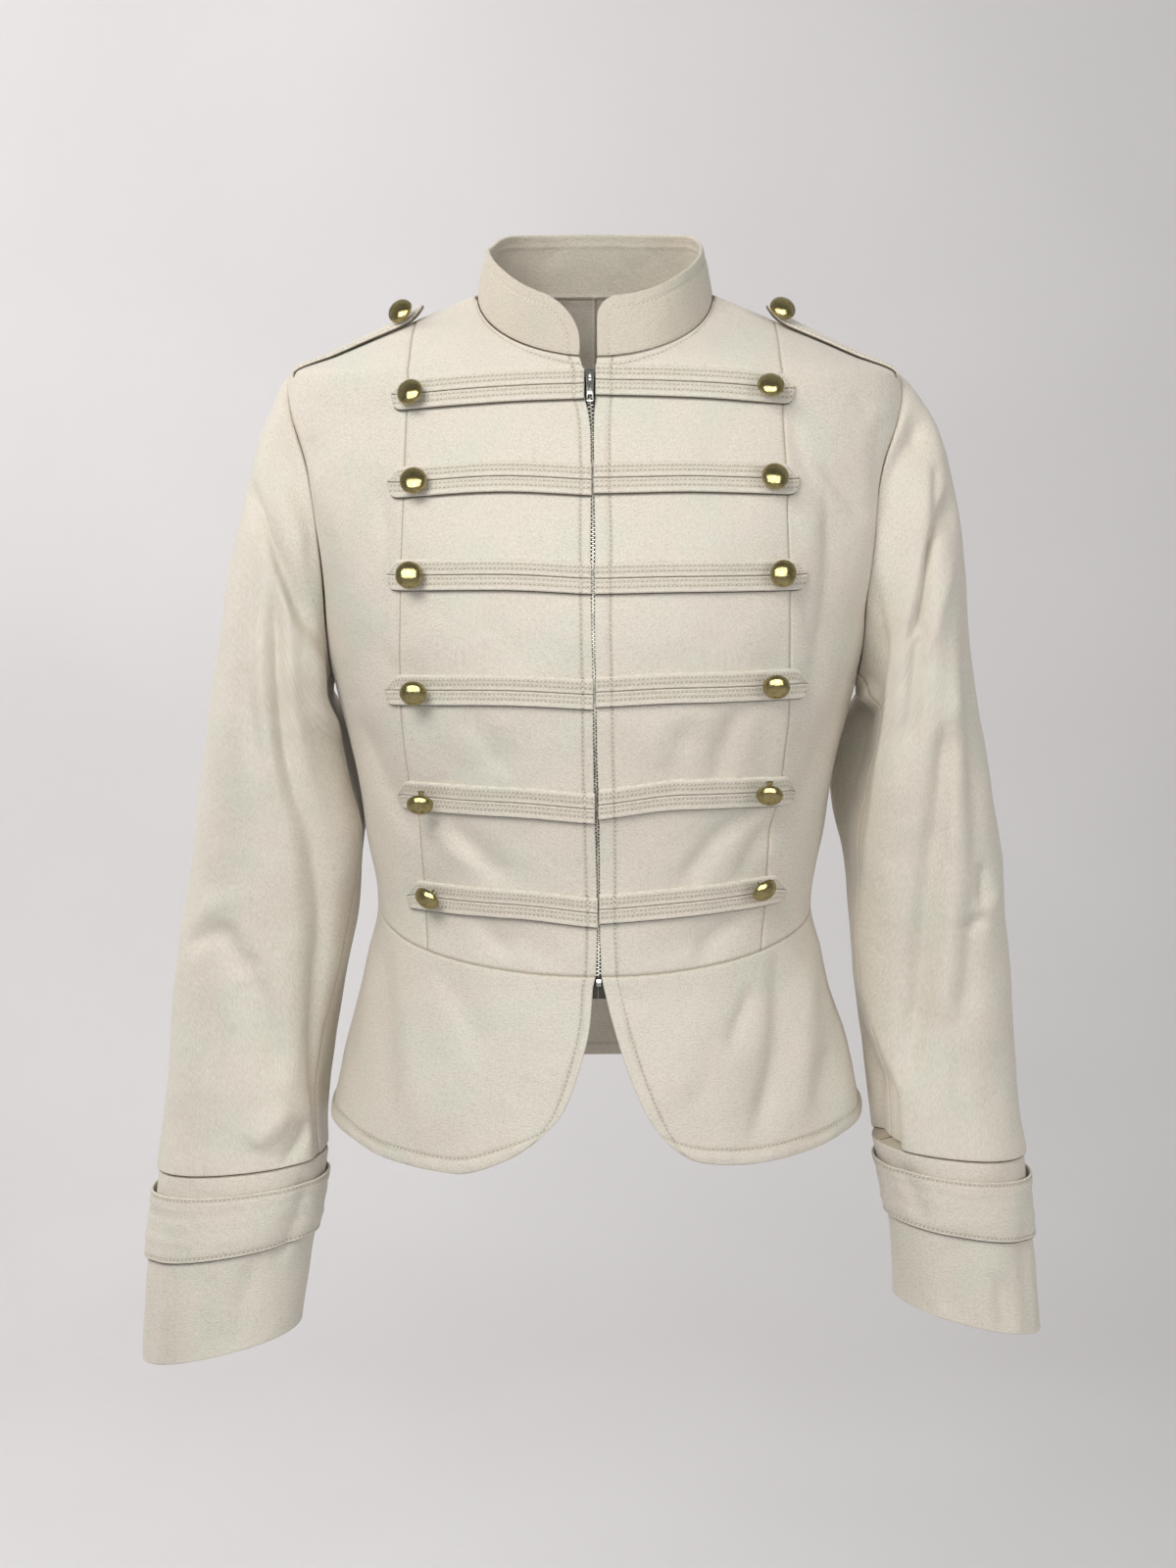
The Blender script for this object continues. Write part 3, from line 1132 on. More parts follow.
def area_of(points):
    one = np.cross(points[1:, :-1] - points[:-1, :-1], points[:-1, 1:] - points[:-1, :-1])
    two = np.cross(points[:-1, 1:] - points[1:, 1:], points[1:, :-1] - points[1:, 1:])
    return float((np.linalg.norm(one, axis=-1) + np.linalg.norm(two, axis=-1)).sum() / 2)


def put(name, data):
    """An object in the scene."""
    thing = bpy.data.objects.new(name, data)
    bpy.context.scene.collection.objects.link(thing)
    return thing


def mesh_of(name, points, faces, places, finish, shade=None):
    """One mesh object, with a UV map of real lengths in metres and how deep in a groove each point is."""
    mesh = bpy.data.meshes.new(name)
    mesh.vertices.add(len(points))
    mesh.vertices.foreach_set("co", np.asarray(points, np.float32).ravel())
    faces = np.asarray(faces, np.int32)
    sides = faces.shape[1]
    mesh.loops.add(faces.size)
    mesh.loops.foreach_set("vertex_index", faces.ravel())
    mesh.polygons.add(len(faces))
    mesh.polygons.foreach_set("loop_start", np.arange(len(faces), dtype=np.int32) * sides)
    mesh.polygons.foreach_set("loop_total", np.full(len(faces), sides, np.int32))
    layer = mesh.uv_layers.new(name="lengths")
    layer.data.foreach_set("uv", np.asarray(places, np.float32)[faces.ravel()].ravel())
    mesh.polygons.foreach_set("use_smooth", np.ones(len(faces), bool))
    mesh.update(calc_edges=True)
    mesh.validate()
    mesh.materials.append(finish)
    if shade is not None:
        groove = mesh.attributes.new("groove", "FLOAT", "POINT")
        groove.data.foreach_set("value", np.asarray(shade, np.float32))
    return put(name, mesh)


def shell_data(cloth):
    """Points, faces and lengths of a cloth piece as a closed shell."""
    rows, columns = cloth.outer.shape[:2]
    count = rows * columns
    index = np.arange(count).reshape(rows, columns)
    squares = np.stack([index[:-1, :-1], index[1:, :-1], index[1:, 1:], index[:-1, 1:]], -1).reshape(-1, 4)
    faces = [squares, squares[:, ::-1] + count]
    rims = [(index[0], True), (index[-1], False)]
    if not cloth.tube:
        rims += [(index[:, 0], False), (index[:, -1], True)]
    for line, flip in rims:
        strip = np.stack([line[:-1], line[:-1] + count, line[1:] + count, line[1:]], -1)
        faces.append(strip[:, ::-1] if flip else strip)
    faces = np.concatenate(faces)
    middle = rows // 2, columns // 2
    down = cloth.outer[middle[0] + 1, middle[1]] - cloth.outer[middle]
    across = cloth.outer[middle[0], middle[1] + 1] - cloth.outer[middle]
    if np.dot(np.cross(down, across), cloth.normal[middle]) < 0:
        faces = faces[:, ::-1]
    points = np.concatenate([cloth.outer.reshape(-1, 3), cloth.inner.reshape(-1, 3)])
    places = np.stack([cloth.reach["left"], -cloth.reach["top"]], -1).reshape(-1, 2)
    shade = cloth.shade.ravel()
    return points, faces, np.concatenate([places, places]), np.concatenate([shade, shade])


def declare(thing, node, flat, area):
    """A cloth piece rides on the jacket in place of its CAD node, and states the size of its cut."""
    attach(thing, BODY)
    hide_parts(node)
    min(area, flat[0] * flat[1])


def shell(node, cloth, finish):
    """A cloth piece as a mesh, in place of its CAD node."""
    points, faces, places, shade = shell_data(cloth)
    thing = mesh_of(f"{node}_cloth", points, faces, places, finish, shade)
    if cloth.tube:
        weld(thing)
    declare(thing, node, cloth.cut, cloth.flat_area)


def weld(thing):
    """Join the two edges where a tube's grid meets itself."""
    mend(thing, lambda shape: bmesh.ops.remove_doubles(shape, verts=shape.verts[:], dist=0.002 * MM))


def outward(thing):
    """Turn every face to point out."""
    mend(thing, lambda shape: bmesh.ops.recalc_face_normals(shape, faces=shape.faces[:]))


def mend(thing, change):
    shape = bmesh.new()
    shape.from_mesh(thing.data)
    change(shape)
    shape.to_mesh(thing.data)
    shape.free()


# ---- the body's pieces

def in_neck(points):
    return np.abs(points[..., 0]) < NECK_HALF_WIDTH + 2 * MM


def make_body(cloth):
    """The bodice: two centre fronts, two side fronts and two backs."""
    made = {}
    tip = section(-SHOULDER_TIP)[0]
    for name, side in SIDES.items():
        edge, seam = front_edge(side, PANEL_ROWS), princess_seam(side, PANEL_ROWS)
        neck = front_neckline(side, neck_start(side), NECK_COLUMNS)
        shoulder = shoulder_edge(side, NECK_HALF_WIDTH, PRINCESS_AT_SHOULDER, 2 * FINER + 1)[1:]
        top = np.concatenate([neck, shoulder])
        edge[0] = top[0]
        bottom = waist_edge(edge[-1, 0], seam[-1, 0], len(top))
        edge[-1], seam[-1] = bottom[0], bottom[-1]
        made[f"front_centre_{name}"] = Cloth(
            body, flat_patch(side, top, bottom, edge, seam), 2.3 * MM, rims={"left": "fold"},
            folds=body_folds, rows=[("left", FRONT_STITCH[name]), ("top", NECK_STITCH, in_neck)])

        top = shoulder_edge(side, PRINCESS_AT_SHOULDER, tip, 5 * FINER + 1)
        bottom = waist_edge(seam[-1, 0], side * QUARTER, len(top))
        made[f"front_side_{name}"] = Cloth(
            body, patch(top, bottom, seam, outer_edge(side, rear=False)), 2.6 * MM,
            rims={"right": "soft"}, folds=body_folds)

        neck = pairs(side * np.linspace(math.pi, QUARTER, NECK_COLUMNS + 1), 0.0)
        top = np.concatenate([neck, shoulder_edge(side, NECK_HALF_WIDTH, tip, 4 * FINER + 1)[1:]])
        bottom = waist_edge(side * math.pi, side * QUARTER, len(top))
        height = np.concatenate([BACK_AT_ARMPIT * crowded(ARMHOLE_ROWS), np.linspace(
            BACK_AT_ARMPIT, bottom[0, 1], PANEL_ROWS - ARMHOLE_ROWS + 1)[1:]])
        edges = top, bottom, pairs(side * math.pi, height), outer_edge(side, rear=True)
        below = np.clip((np.arange(PANEL_ROWS + 1) - FLAT_BACK_ROWS) / (ARMHOLE_ROWS - FLAT_BACK_ROWS), 0, 1)
        below = below[:, None, None]
        grid = (1 - below) * flat_patch(side, *edges, rear=True) + below * patch(*edges)
        made[f"back_{name}"] = Cloth(body, grid, 3.4 * MM, folds=body_folds,
                                     rows=[("top", NECK_STITCH, in_neck)])
    for node, piece in made.items():
        shell(node, piece, cloth)
    return made


def make_peplum(cloth):
    """The flared peplum: two cut-away fronts and one back."""
    made = {}
    last = PEPLUM_EDGE["step"][-1]
    for name, side in SIDES.items():
        front = peplum_edge(side, np.linspace(0, PEPLUM_CORNER_STEP, 6 * FINER + 1))
        hem = peplum_edge(side, np.linspace(PEPLUM_CORNER_STEP, last, 7 * FINER + 1))
        hem = np.concatenate([hem, [[side * QUARTER, SIDE_HEM]]])
        top = waist_edge(front[0, 0], side * QUARTER, len(hem))
        front[0] = top[0]
        height = np.linspace(top[-1, 1], SIDE_HEM, len(front))
        made[f"peplum_front_{name}"] = Cloth(
            body, patch(top, hem, front, pairs(side * QUARTER, height)), 2.4 * MM,
            rims={"left": "fold", "bottom": "hem"}, folds=body_folds,
            rows=[("left", FRONT_STITCH[name]), ("bottom", HEM_STITCH)])
    top = waist_edge(QUARTER, 3 * QUARTER, 14 * FINER + 1)
    share = np.linspace(0, 1, 5 * FINER + 1)[:, None]
    grid = pairs(top[None, :, 0], top[:, 1] + share * (SIDE_HEM - top[:, 1]))
    made["peplum_back"] = Cloth(body, grid, 3.2 * MM, rims={"bottom": "hem"}, folds=body_folds,
                                rows=[("bottom", HEM_STITCH)])
    for node, piece in made.items():
        shell(node, piece, cloth)
    return made


def make_collar(cloth):
    share = np.stack(np.meshgrid(np.linspace(0, 1, 160), np.linspace(1, 0, 20)), -1)
    rims = {"top": "fold", "bottom": "soft", "left": "fold", "right": "fold"}
    piece = Cloth(collar, share, 1.1 * MM, COLLAR_WALL, rims=rims, folds=collar_folds)
    piece.shade = np.maximum(piece.shade, COLLAR_SHADE)
    shell("collar", piece, cloth)


def make_sleeves(cloth):
    """Two-piece sleeves with a turned-up cuff, and a stitched band that stands off it."""
    made = {}
    for name in SIDES:
        def form(grid, out=0.0, name=name):
            return sleeve(name, grid[..., 0], grid[..., 1], out)

        def folds(points, grid, name=name):
            return sleeve_folds(name, points, grid)

        down = np.linspace(0.0, CUFF_SEAM, SLEEVE_ROWS + 1)
        for part, turn in {
            "sleeve_upper": np.linspace(BACK_SLEEVE_SEAM - 4 * QUARTER, FRONT_SLEEVE_SEAM, 11 * FINER + 1),
            "sleeve_under": np.linspace(FRONT_SLEEVE_SEAM, BACK_SLEEVE_SEAM, 6 * FINER + 1),
        }.items():
            grid = np.stack(np.meshgrid(down, turn, indexing="ij"), -1)
            made[f"{part}_{name}"] = Cloth(form, grid, 3.0 * MM, rims={"top": "tuck", "bottom": "lip"},
                                           folds=folds)
        around = np.linspace(0, 4 * QUARTER, 20 * FINER + 1)
        grid = np.stack(np.meshgrid(np.linspace(CUFF_SEAM, CUFF_HEM, 40), around, indexing="ij"), -1)
        made[f"cuff_{name}"] = Cloth(form, grid, 2.4 * MM, rims={"bottom": "fold"}, folds=folds, tube=True)

        def band_folds(points, grid, folds=folds):
            return folds(points, grid) + band_lift(grid) + LIFT + BAND_WALL

        grid = np.stack(np.meshgrid(np.linspace(CUFF_BAND[0], CUFF_BAND[1] + LIP, 20), around,
                                    indexing="ij"), -1)
        made[f"cuff_band_{name}"] = Cloth(
            form, grid, 2.2 * MM, BAND_WALL, rims={"top": "fold", "bottom": "lip"}, folds=band_folds,
            tube=True, rows=[("top", BAND_STITCH), ("bottom", BAND_STITCH + LIP)])
    for node, piece in made.items():
        kind, name = node.rsplit("_", 1)
        shell(node, piece, cloth)
    return made


# ---- straps and epaulettes

def strap_rows():
    """Each strap's label, its number from the top and its row of sizes."""
    for number, values in enumerate(zip(*STRAPS.values())):
        row = dict(zip(STRAPS, values))
        yield f"{side_of(row['side'])}_{number % 6 + 1}", number % 6, row


def strap_form(row):
    """The face that a strap lies on: each pair is a distance from the middle and a height off its line."""
    side = int(row["side"])
    start = side * float(smooth(FRONT_EDGES, side_of(side), row["at_zip"])) - STRAP_OVER
    line = table(("x", "height"), (start, row["at_zip"]), (STRAP_HALFWAY, row["halfway"]),
                 (row["tip"], row["at_tip"]))

    def form(grid, out=0.0):
        height = smooth(line, "height", grid[..., 0]) + grid[..., 1]
        angle = angle_at_x(side * grid[..., 0], height)
        return torso(angle, height, out)
    return form, start


def make_straps(cloth):
    """Each strap is one folded strip doubled along a slit, with its end turned into a point."""
    made = {}
    for label, number, row in strap_rows():
        form, start = strap_form(row)
        reach = np.concatenate([np.linspace(start, row["tip"] - TIP_LENGTH - MM, 40),
                                np.linspace(row["tip"] - TIP_LENGTH, row["tip"], 14)])
        before = row["tip"] - reach
        bend = TIP_BEND[number] * np.clip(1 - before / TIP_BEND_LENGTH, 0, 1) ** 2
        bands = []
        for band, (inner, outer) in STRAP_BANDS.items():
            width = np.abs(outer) * smooth(STRAP_ENDS, band, before)
            edge = np.sign(outer) * np.maximum(width, abs(inner) + MM) + bend
            slit = inner + bend
            high, low = (edge, slit) if outer > 0 else (slit, edge)
            across = np.linspace(1, 0, 9)[:, None]
            grid = np.stack([np.broadcast_to(reach, (9, len(reach))), low + across * (high - low)], -1)

            def folds(points, grid, band=band):
                lift = STRAP_LIFT + STRAP_WALL + body_folds(points, grid)
                sag = np.clip(-grid[..., 1] / STRAP_HALF_WIDTH, 0, 1) ** 2
                roll = np.clip((grid[..., 1] - ROLL_START) / ROLL_LENGTH, 0, 1) ** 2
                return lift + STRAP_SAG * sag - STRAP_ROLL * roll + (LOWER_LIFT if band == "lower" else 0)

            rows = [("top", distance) for distance in STRAP_STITCHES[band]]
            rows += [("left", FRONT_STITCH[side_of(row["side"])])]
            under = {"upper": "slit", "lower": "lip"}[band]
            rims = {"top": "fold", "bottom": under, "left": "fold", "right": "fold"}
            piece = Cloth(form, grid, 1.9 * MM, STRAP_WALL, rims=rims, folds=folds, rows=rows)
            bands.append((band, piece))
        made[label] = bands
        join_bands(label, [piece for _, piece in bands], cloth)
    return made


def join_bands(label, bands, cloth):
    """Both bands of a strap as one piece."""
    points, faces, places, shade = zip(*[shell_data(piece) for piece in bands])
    faces = faces[0], faces[1] + len(points[0])
    points, faces, places, shade = (np.concatenate(part) for part in (points, faces, places, shade))
    thing = mesh_of(f"strap_{label}_cloth", points, faces, places, cloth, shade)
    cut = max(piece.cut[0] for piece in bands), sum(piece.cut[1] for piece in bands)
    area = sum(piece.flat_area for piece in bands)
    declare(thing, f"strap_{label}", cut, area)


def on_shoulder(side, x, ahead):
    """Angle and height of the shoulder's point at a half-width, ahead of the shoulder seam."""
    x = np.broadcast_to(x, np.shape(ahead)).astype(float)
    y = smooth(SECTIONS, "middle", shoulder_height(x)) - ahead
    height = height_at(x, y)
    angle, middle = angle_at_x(x, height), section(height)[3]
    return side * np.where(y < middle, angle, math.pi - angle), height


def make_epaulettes(cloth):
    """Shoulder straps from the sleeve head to a rounded end near the collar."""
    made = {}
    start, end = EPAULETTE_REACH
    for name, side in SIDES.items():
        x = np.concatenate([np.linspace(start, end + EPAULETTE_END + MM, 30),
                            end + np.linspace(EPAULETTE_END, 0.0, 14)])
        inward = np.clip((x - end) / EPAULETTE_END, 0, 1)
        half = EPAULETTE_HALF_WIDTH * (1 - EPAULETTE_TAPER * (1 - np.clip((x - end) / (start - end), 0, 1)))
        half = half * np.sqrt(np.clip(1 - (1 - inward) ** 2, 0.03, 1))
        across = np.linspace(-1, 1, 13)[:, None]
        grid = np.stack([np.broadcast_to(x, (13, len(x))), across * half[None]], -1)

        def form(grid, out=0.0, side=side):
            return torso(*on_shoulder(side, grid[..., 0], -grid[..., 1]), out)

        def folds(points, grid):
            across = np.clip(np.abs(grid[..., 1]) / EPAULETTE_HALF_WIDTH, 0, 1)
            inward = np.clip((start - grid[..., 0]) / (start - end), 0, 1)
            tip = np.clip(1 - (grid[..., 0] - end) / EPAULETTE_TIP[0], 0, 1)
            crown = EPAULETTE_CROWN * inward * (1 - across**2)
            return EPAULETTE_LIFT + EPAULETTE_WALL + crown + EPAULETTE_TIP[1] * tip**2

        rims = {"top": "lip", "bottom": "fold", "right": "fold"}
        rows = [("top", EPAULETTE_STITCH + LIP), ("bottom", EPAULETTE_STITCH)]
        piece = Cloth(form, grid, 1.6 * MM, EPAULETTE_WALL, rims=rims, folds=folds, rows=rows)
        made[name] = piece
        shell(f"epaulette_{name}", piece, cloth)
    return made


# ---- stitches

def stitches(name, lines, thread, pitch=STITCH_PITCH):
    """Rows of lockstitch as one piece: each stitch is a short grain of thread sunk at both ends."""
    centres, along, out = [], [], []
    reach = 0.3 * MM
    for points, normals in lines:
        run = lengths(points)
        count = int(run[-1] / pitch)
        if count < 2:
            continue
        place = (np.arange(count) + 0.5) * run[-1] / count
        centres.append(on_line(points, run, place))
        along.append(on_line(points, run, place + reach) - on_line(points, run, place - reach))
        out.append(on_line(normals, run, place))
    centres, along, out = np.concatenate(centres), unit(np.concatenate(along)), np.concatenate(out)
    out = unit(out - np.sum(out * along, -1, keepdims=True) * along)
    side = np.cross(along, out)
    along = along + STITCH_SLANT * side
    half = pitch * STITCH_SHARE / 2
    rings = [(-1.0, 0.7, -0.35), (0.0, 1.05, 0.4), (1.0, 0.7, -0.35)]      # place, thickness and level
    corners = [(1, 0), (0.5, 0.87), (-0.5, 0.87), (-1, 0), (-0.5, -0.87), (0.5, -0.87)]
    points = [centres + place * half * along + THREAD_RADIUS * (
        size * (across * side + rise * out) + level * out)
        for place, size, level in rings for across, rise in corners]
    points = np.stack(points, 1)
    faces = [[ring * 6 + turn, ring * 6 + (turn + 1) % 6, (ring + 1) * 6 + (turn + 1) % 6,
              (ring + 1) * 6 + turn] for ring in range(2) for turn in range(6)]
    faces += [[0, 3, 2, 1], [0, 5, 4, 3], [12, 13, 14, 15], [12, 15, 16, 17]]
    faces = (np.array(faces)[None] + 18 * np.arange(len(centres))[:, None, None]).reshape(-1, 4)
    places = np.tile(np.array([(place * half, turn / 6 * MM) for place, *_ in rings for turn in range(6)]),
                     (len(centres), 1))
    holes = np.tile(np.repeat([1.0, 0.0, 1.0], 6), len(centres))
    thing = mesh_of(name, points.reshape(-1, 3), faces, places, thread, holes)
    outward(thing)
    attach(thing, BODY)


def kept(line, keep):
    """The part of a line whose points pass a test."""
    points, normals = line
    chosen = keep(points)
    return points[chosen], normals[chosen]


def make_stitches(thread, bodice, peplum, sleeves, straps, epaulettes):
    fronts, bands = [], []
    for name in SIDES:
        fronts.append(bodice[f"front_centre_{name}"].beside("left", FRONT_STITCH[name]))
        skirt = peplum[f"peplum_front_{name}"]
        fronts.append(skirt.beside("left", FRONT_STITCH[name], "bottom", HEM_STITCH))
        fronts.append(skirt.beside("bottom", HEM_STITCH, "left", FRONT_STITCH[name]))
        for node in ("front_centre", "back"):
            fronts.append(kept(bodice[f"{node}_{name}"].beside("top", NECK_STITCH), in_neck))
        for piece, top, bottom in ((sleeves[f"cuff_band_{name}"], BAND_STITCH, BAND_STITCH + LIP),
                                   (epaulettes[name], EPAULETTE_STITCH + LIP, EPAULETTE_STITCH)):
            bands += [piece.beside("top", top), piece.beside("bottom", bottom)]
    fronts.append(peplum["peplum_back"].beside("bottom", HEM_STITCH))
    fronts.append(collar_row())
    lines = []
    for label, pieces in straps.items():
        for band, piece in pieces:
            lines += [piece.beside("top", distance) for distance in STRAP_STITCHES[band]]
            fronts.append(piece.beside("left", FRONT_STITCH[label[:-2]], "bottom", LIP))
    stitches("stitches_body", fronts, thread)
    stitches("stitches_cuffs_and_epaulettes", bands, thread)
    stitches("stitches_straps", lines, thread, STRAP_PITCH)


# ---- hard pieces, modelled by hand

def nothing_selected():
    if bpy.context.object and bpy.context.object.mode != "OBJECT":
        bpy.ops.object.mode_set(mode="OBJECT")
    bpy.ops.object.select_all(action="DESELECT")


def pick(*things):
    """Select only these pieces, the first of them active."""
    nothing_selected()
    for thing in things:
        thing.select_set(True)
    bpy.context.view_layer.objects.active = things[0]


def choose_back(thing):
    """Select only the faces at a button's back, in the mesh being edited."""
    shape = bmesh.from_edit_mesh(thing.data)
    for chosen in (False, True):
        for face in shape.faces:
            if not chosen or face.normal.z < -0.9:
                face.select_set(chosen)
    bmesh.update_edit_mesh(thing.data)


def finish_by_modifier(thing, kind, **settings):
    nothing_selected()
    change = thing.modifiers.new(kind.lower(), kind)
    for name, value in settings.items():
        setattr(change, name, value)
    bpy.context.view_layer.objects.active = thing
    bpy.ops.object.modifier_apply(modifier=change.name)


def model_button():
    """A domed button with a rolled rim, its back at the origin and its dome towards +Z."""
    nothing_selected()
    bpy.ops.mesh.primitive_uv_sphere_add(segments=40, ring_count=24, radius=BUTTON_RADIUS)
    button = bpy.context.object
    bpy.ops.object.mode_set(mode="EDIT")
    bpy.ops.mesh.select_all(action="SELECT")
    bpy.ops.mesh.bisect(plane_co=(0, 0, 0), plane_no=(0, 0, 1), clear_inner=True, use_fill=True)
    bpy.ops.mesh.select_all(action="SELECT")
    bpy.ops.transform.resize(value=(BUTTON_BODY, BUTTON_BODY, BUTTON_DOME / BUTTON_RADIUS))
    choose_back(button)
    bpy.ops.mesh.inset(thickness=-BUTTON_RIM[0])
    bpy.ops.mesh.select_more()
    choose_back(button)
    bpy.ops.mesh.extrude_region_move(TRANSFORM_OT_translate={"value": (0, 0, -BUTTON_RIM[1])})
    bpy.ops.mesh.inset(thickness=BUTTON_BACK[0])
    bpy.ops.mesh.extrude_region_move(TRANSFORM_OT_translate={"value": (0, 0, BUTTON_BACK[1])})
    bpy.ops.object.mode_set(mode="OBJECT")
    finish_by_modifier(button, "BEVEL", width=0.16 * MM, segments=2, angle_limit=math.radians(40),
                       limit_method="ANGLE")
    bpy.ops.object.shade_smooth_by_angle(angle=math.radians(50))
    return button


def model_shank(length):
    """The bar that joins a button to the cloth, pierced near its foot like a sewing loop."""
    nothing_selected()
    bpy.ops.mesh.primitive_cylinder_add(vertices=24, radius=SHANK_RADIUS, depth=length,
                                        location=(0, 0, length / 2))
    stem = bpy.context.object
    bpy.ops.object.transform_apply()
    squeeze(stem, lambda co: co.z > length / 2, (0.75, 0.45, 1.0))
    squeeze(stem, lambda co: co.z < length / 2, (1.0, 0.45, 1.0))
    nothing_selected()
    bpy.ops.mesh.primitive_cylinder_add(vertices=20, radius=SHANK_HOLE, depth=4 * SHANK_RADIUS,
                                        location=(0, 0, 1.6 * SHANK_HOLE), rotation=(QUARTER, 0, 0))
    cut_away(stem, bpy.context.object)
    round_off(stem, 0.12 * MM)
    return stem


def copy_to(source, name, matrix):
    """A copy with its own mesh, its place in its points."""
    thing = source.copy()
    thing.data = source.data.copy()
    thing.name = thing.data.name = name
    thing.data.transform(matrix)
    bpy.context.scene.collection.objects.link(thing)
    return thing


def standing(foot, axis):
    """Matrix that stands a piece on a foot point along an axis."""
    turn = Vector((0, 0, 1)).rotation_difference(Vector(axis).normalized()).to_matrix().to_4x4()
    return Matrix.Translation(Vector(foot)) @ turn


def button_stand(foot, normal, lean):
    """A button's foot, axis and shank length, leaning aside from the face it stands on."""
    normal = unit(normal)
    axis = unit(normal + lean)
    upright = float(axis @ normal)
    leaning = math.sqrt(max(1 - upright**2, 0))
    shank = max(BUTTON_SHANK, (BUTTON_RADIUS * leaning + BUTTON_CLEAR) / upright)
    return foot + SHANK_RADIUS * leaning * normal - shank * (axis - upright * normal), axis, shank


def make_buttons(brass):
    stands = {}
    for label, _, row in strap_rows():
        angle = angle_at_x(row["side"] * row["button"], row["button_height"])
        foot, normal = foot_on(angle, row["button_height"], LIFT + STRAP_WALL + SEAM_GAP)
        droop, turn = math.tan(math.radians(row["droop"])), math.tan(math.radians(row["turn"]))
        stands[f"button_{label}"] = button_stand(foot, normal, (turn, 0, -droop))
    for name, side in SIDES.items():
        x = EPAULETTE_REACH[1] + EPAULETTE_BUTTON[name]
        angle, height = on_shoulder(side, x, np.array(EPAULETTE_BUTTON_FORWARD))
        foot, normal = foot_on(angle, height, EPAULETTE_BUTTON_OUT)
        aside, forward = EPAULETTE_BUTTON_LEAN[name]
        axis = unit(normal + (side * aside, forward, 0))
        foot = foot + SHANK_RADIUS * math.sqrt(1 - float(axis @ normal) ** 2) * normal
        stands[f"button_epaulette_{name}"] = foot, axis, EPAULETTE_SHANK
    dome = model_button()
    for node, (foot, axis, shank) in stands.items():
        parts = [copy_to(dome, "dome", Matrix.Translation((0, 0, shank))), model_shank(shank)]
        finished(parts, f"{node}_brass", BODY, node, standing(foot, axis), brass)
    bpy.data.objects.remove(dome)


def zip_line(height):
    return (smooth(FRONT_EDGES, "right", height) + smooth(FRONT_EDGES, "left", height)) / 2


def make_zip(tape, alloy, nickel):
    """Two woven tapes, interlocked teeth, and at the top the slider with its hanging tab."""
    for name, side in SIDES.items():
        height = np.linspace(-ZIP_TOP, -ZIP_END, 60)[:, None]
        x = zip_line(height) + side * np.linspace(SEAM_GAP / 2, TAPE_WIDTH, 5)
        grid = pairs(angle_at_x(x, height), height)

        def behind(points, grid):
            return np.full(grid.shape[:2], -CLOTH - LIFT)

        rims = {rim: "fold" for rim in ("top", "bottom", "left", "right")}
        piece = Cloth(body, grid, 2.0 * MM, TAPE_WALL, rims=rims, folds=behind)
        thing = mesh_of(f"zip_tape_{name}_woven", *shell_data(piece)[:3], tape)
        declare(thing, f"zip_tape_{name}", piece.cut, piece.flat_area)
    make_teeth(alloy)
    make_slider(nickel)


def make_teeth(alloy):
    """Alternating metal teeth, all one piece."""
    profile = [(-1.0, -1.0), (1.0, -1.0), (1.0, 0.35), (0.45, 1.0), (-0.45, 1.0), (-1.0, 0.35)]
    points, faces, places = [], [], []
    for side in SIDES.values():
        start = TOOTH_START + (TOOTH_PITCH / 2 if side > 0 else 0.0)
        for height in np.arange(-start, -TOOTH_END, -TOOTH_PITCH):
            x = float(zip_line(height)) + side * TOOTH_ASIDE
            foot, out = foot_on(float(angle_at_x(x, height)), height, -CLOTH - 0.3 * MM)
            up = np.cross((1.0, 0, 0), out)
            up *= np.sign(up[2])
            count = len(points)
            for end in (-1, 1):
                for along, rise in profile:
                    width = TOOTH_WIDTH * (1 if end * side > 0 else TOOTH_TAPER)
                    points.append(foot + end * width * np.array([1.0, 0, 0]) / 2
                                  + along * TOOTH_THICK / 2 * up + rise * TOOTH_DEEP / 2 * out)
                    places.append((x + end * width / 2, height + along * TOOTH_THICK / 2))
            for step in range(6):
                after = (step + 1) % 6
                faces.append((count + step, count + after, count + 6 + after, count + 6 + step))
            for base in (count, count + 6):
                faces += [(base, base + 1, base + 2, base + 5), (base + 5, base + 2, base + 3, base + 4)]
    thing = mesh_of("zip_teeth", points, faces, places, alloy)
    outward(thing)
    thing.data.polygons.foreach_set("use_smooth", np.zeros(len(thing.data.polygons), bool))
    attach(thing, BODY)


def block(size, centre=(0.0, 0.0, 0.0)):
    """A box with its size and place applied."""
    nothing_selected()
    bpy.ops.mesh.primitive_cube_add(size=1.0, location=centre)
    thing = bpy.context.object
    thing.scale = size
    bpy.ops.object.transform_apply()
    return thing


def grab(thing, chosen):
    """Open a piece for editing with only the points selected that pass a test."""
    pick(thing)
    bpy.ops.object.mode_set(mode="EDIT")
    bpy.ops.mesh.select_mode(type="VERT")
    bpy.ops.mesh.select_all(action="DESELECT")
    shape = bmesh.from_edit_mesh(thing.data)
    for point in shape.verts:
        point.select_set(bool(chosen(point.co)))
    shape.select_flush_mode()
    bmesh.update_edit_mesh(thing.data)


def squeeze(thing, chosen, value):
    """Draw a piece in at the points that pass a test."""
    grab(thing, chosen)
    bpy.ops.transform.resize(value=value)
    bpy.ops.object.mode_set(mode="OBJECT")


def cut_away(thing, cutter):
    """Cut one piece's shape out of another and clear the cutter."""
    finish_by_modifier(thing, "BOOLEAN", object=cutter, operation="DIFFERENCE", solver="EXACT")
    bpy.data.objects.remove(cutter)


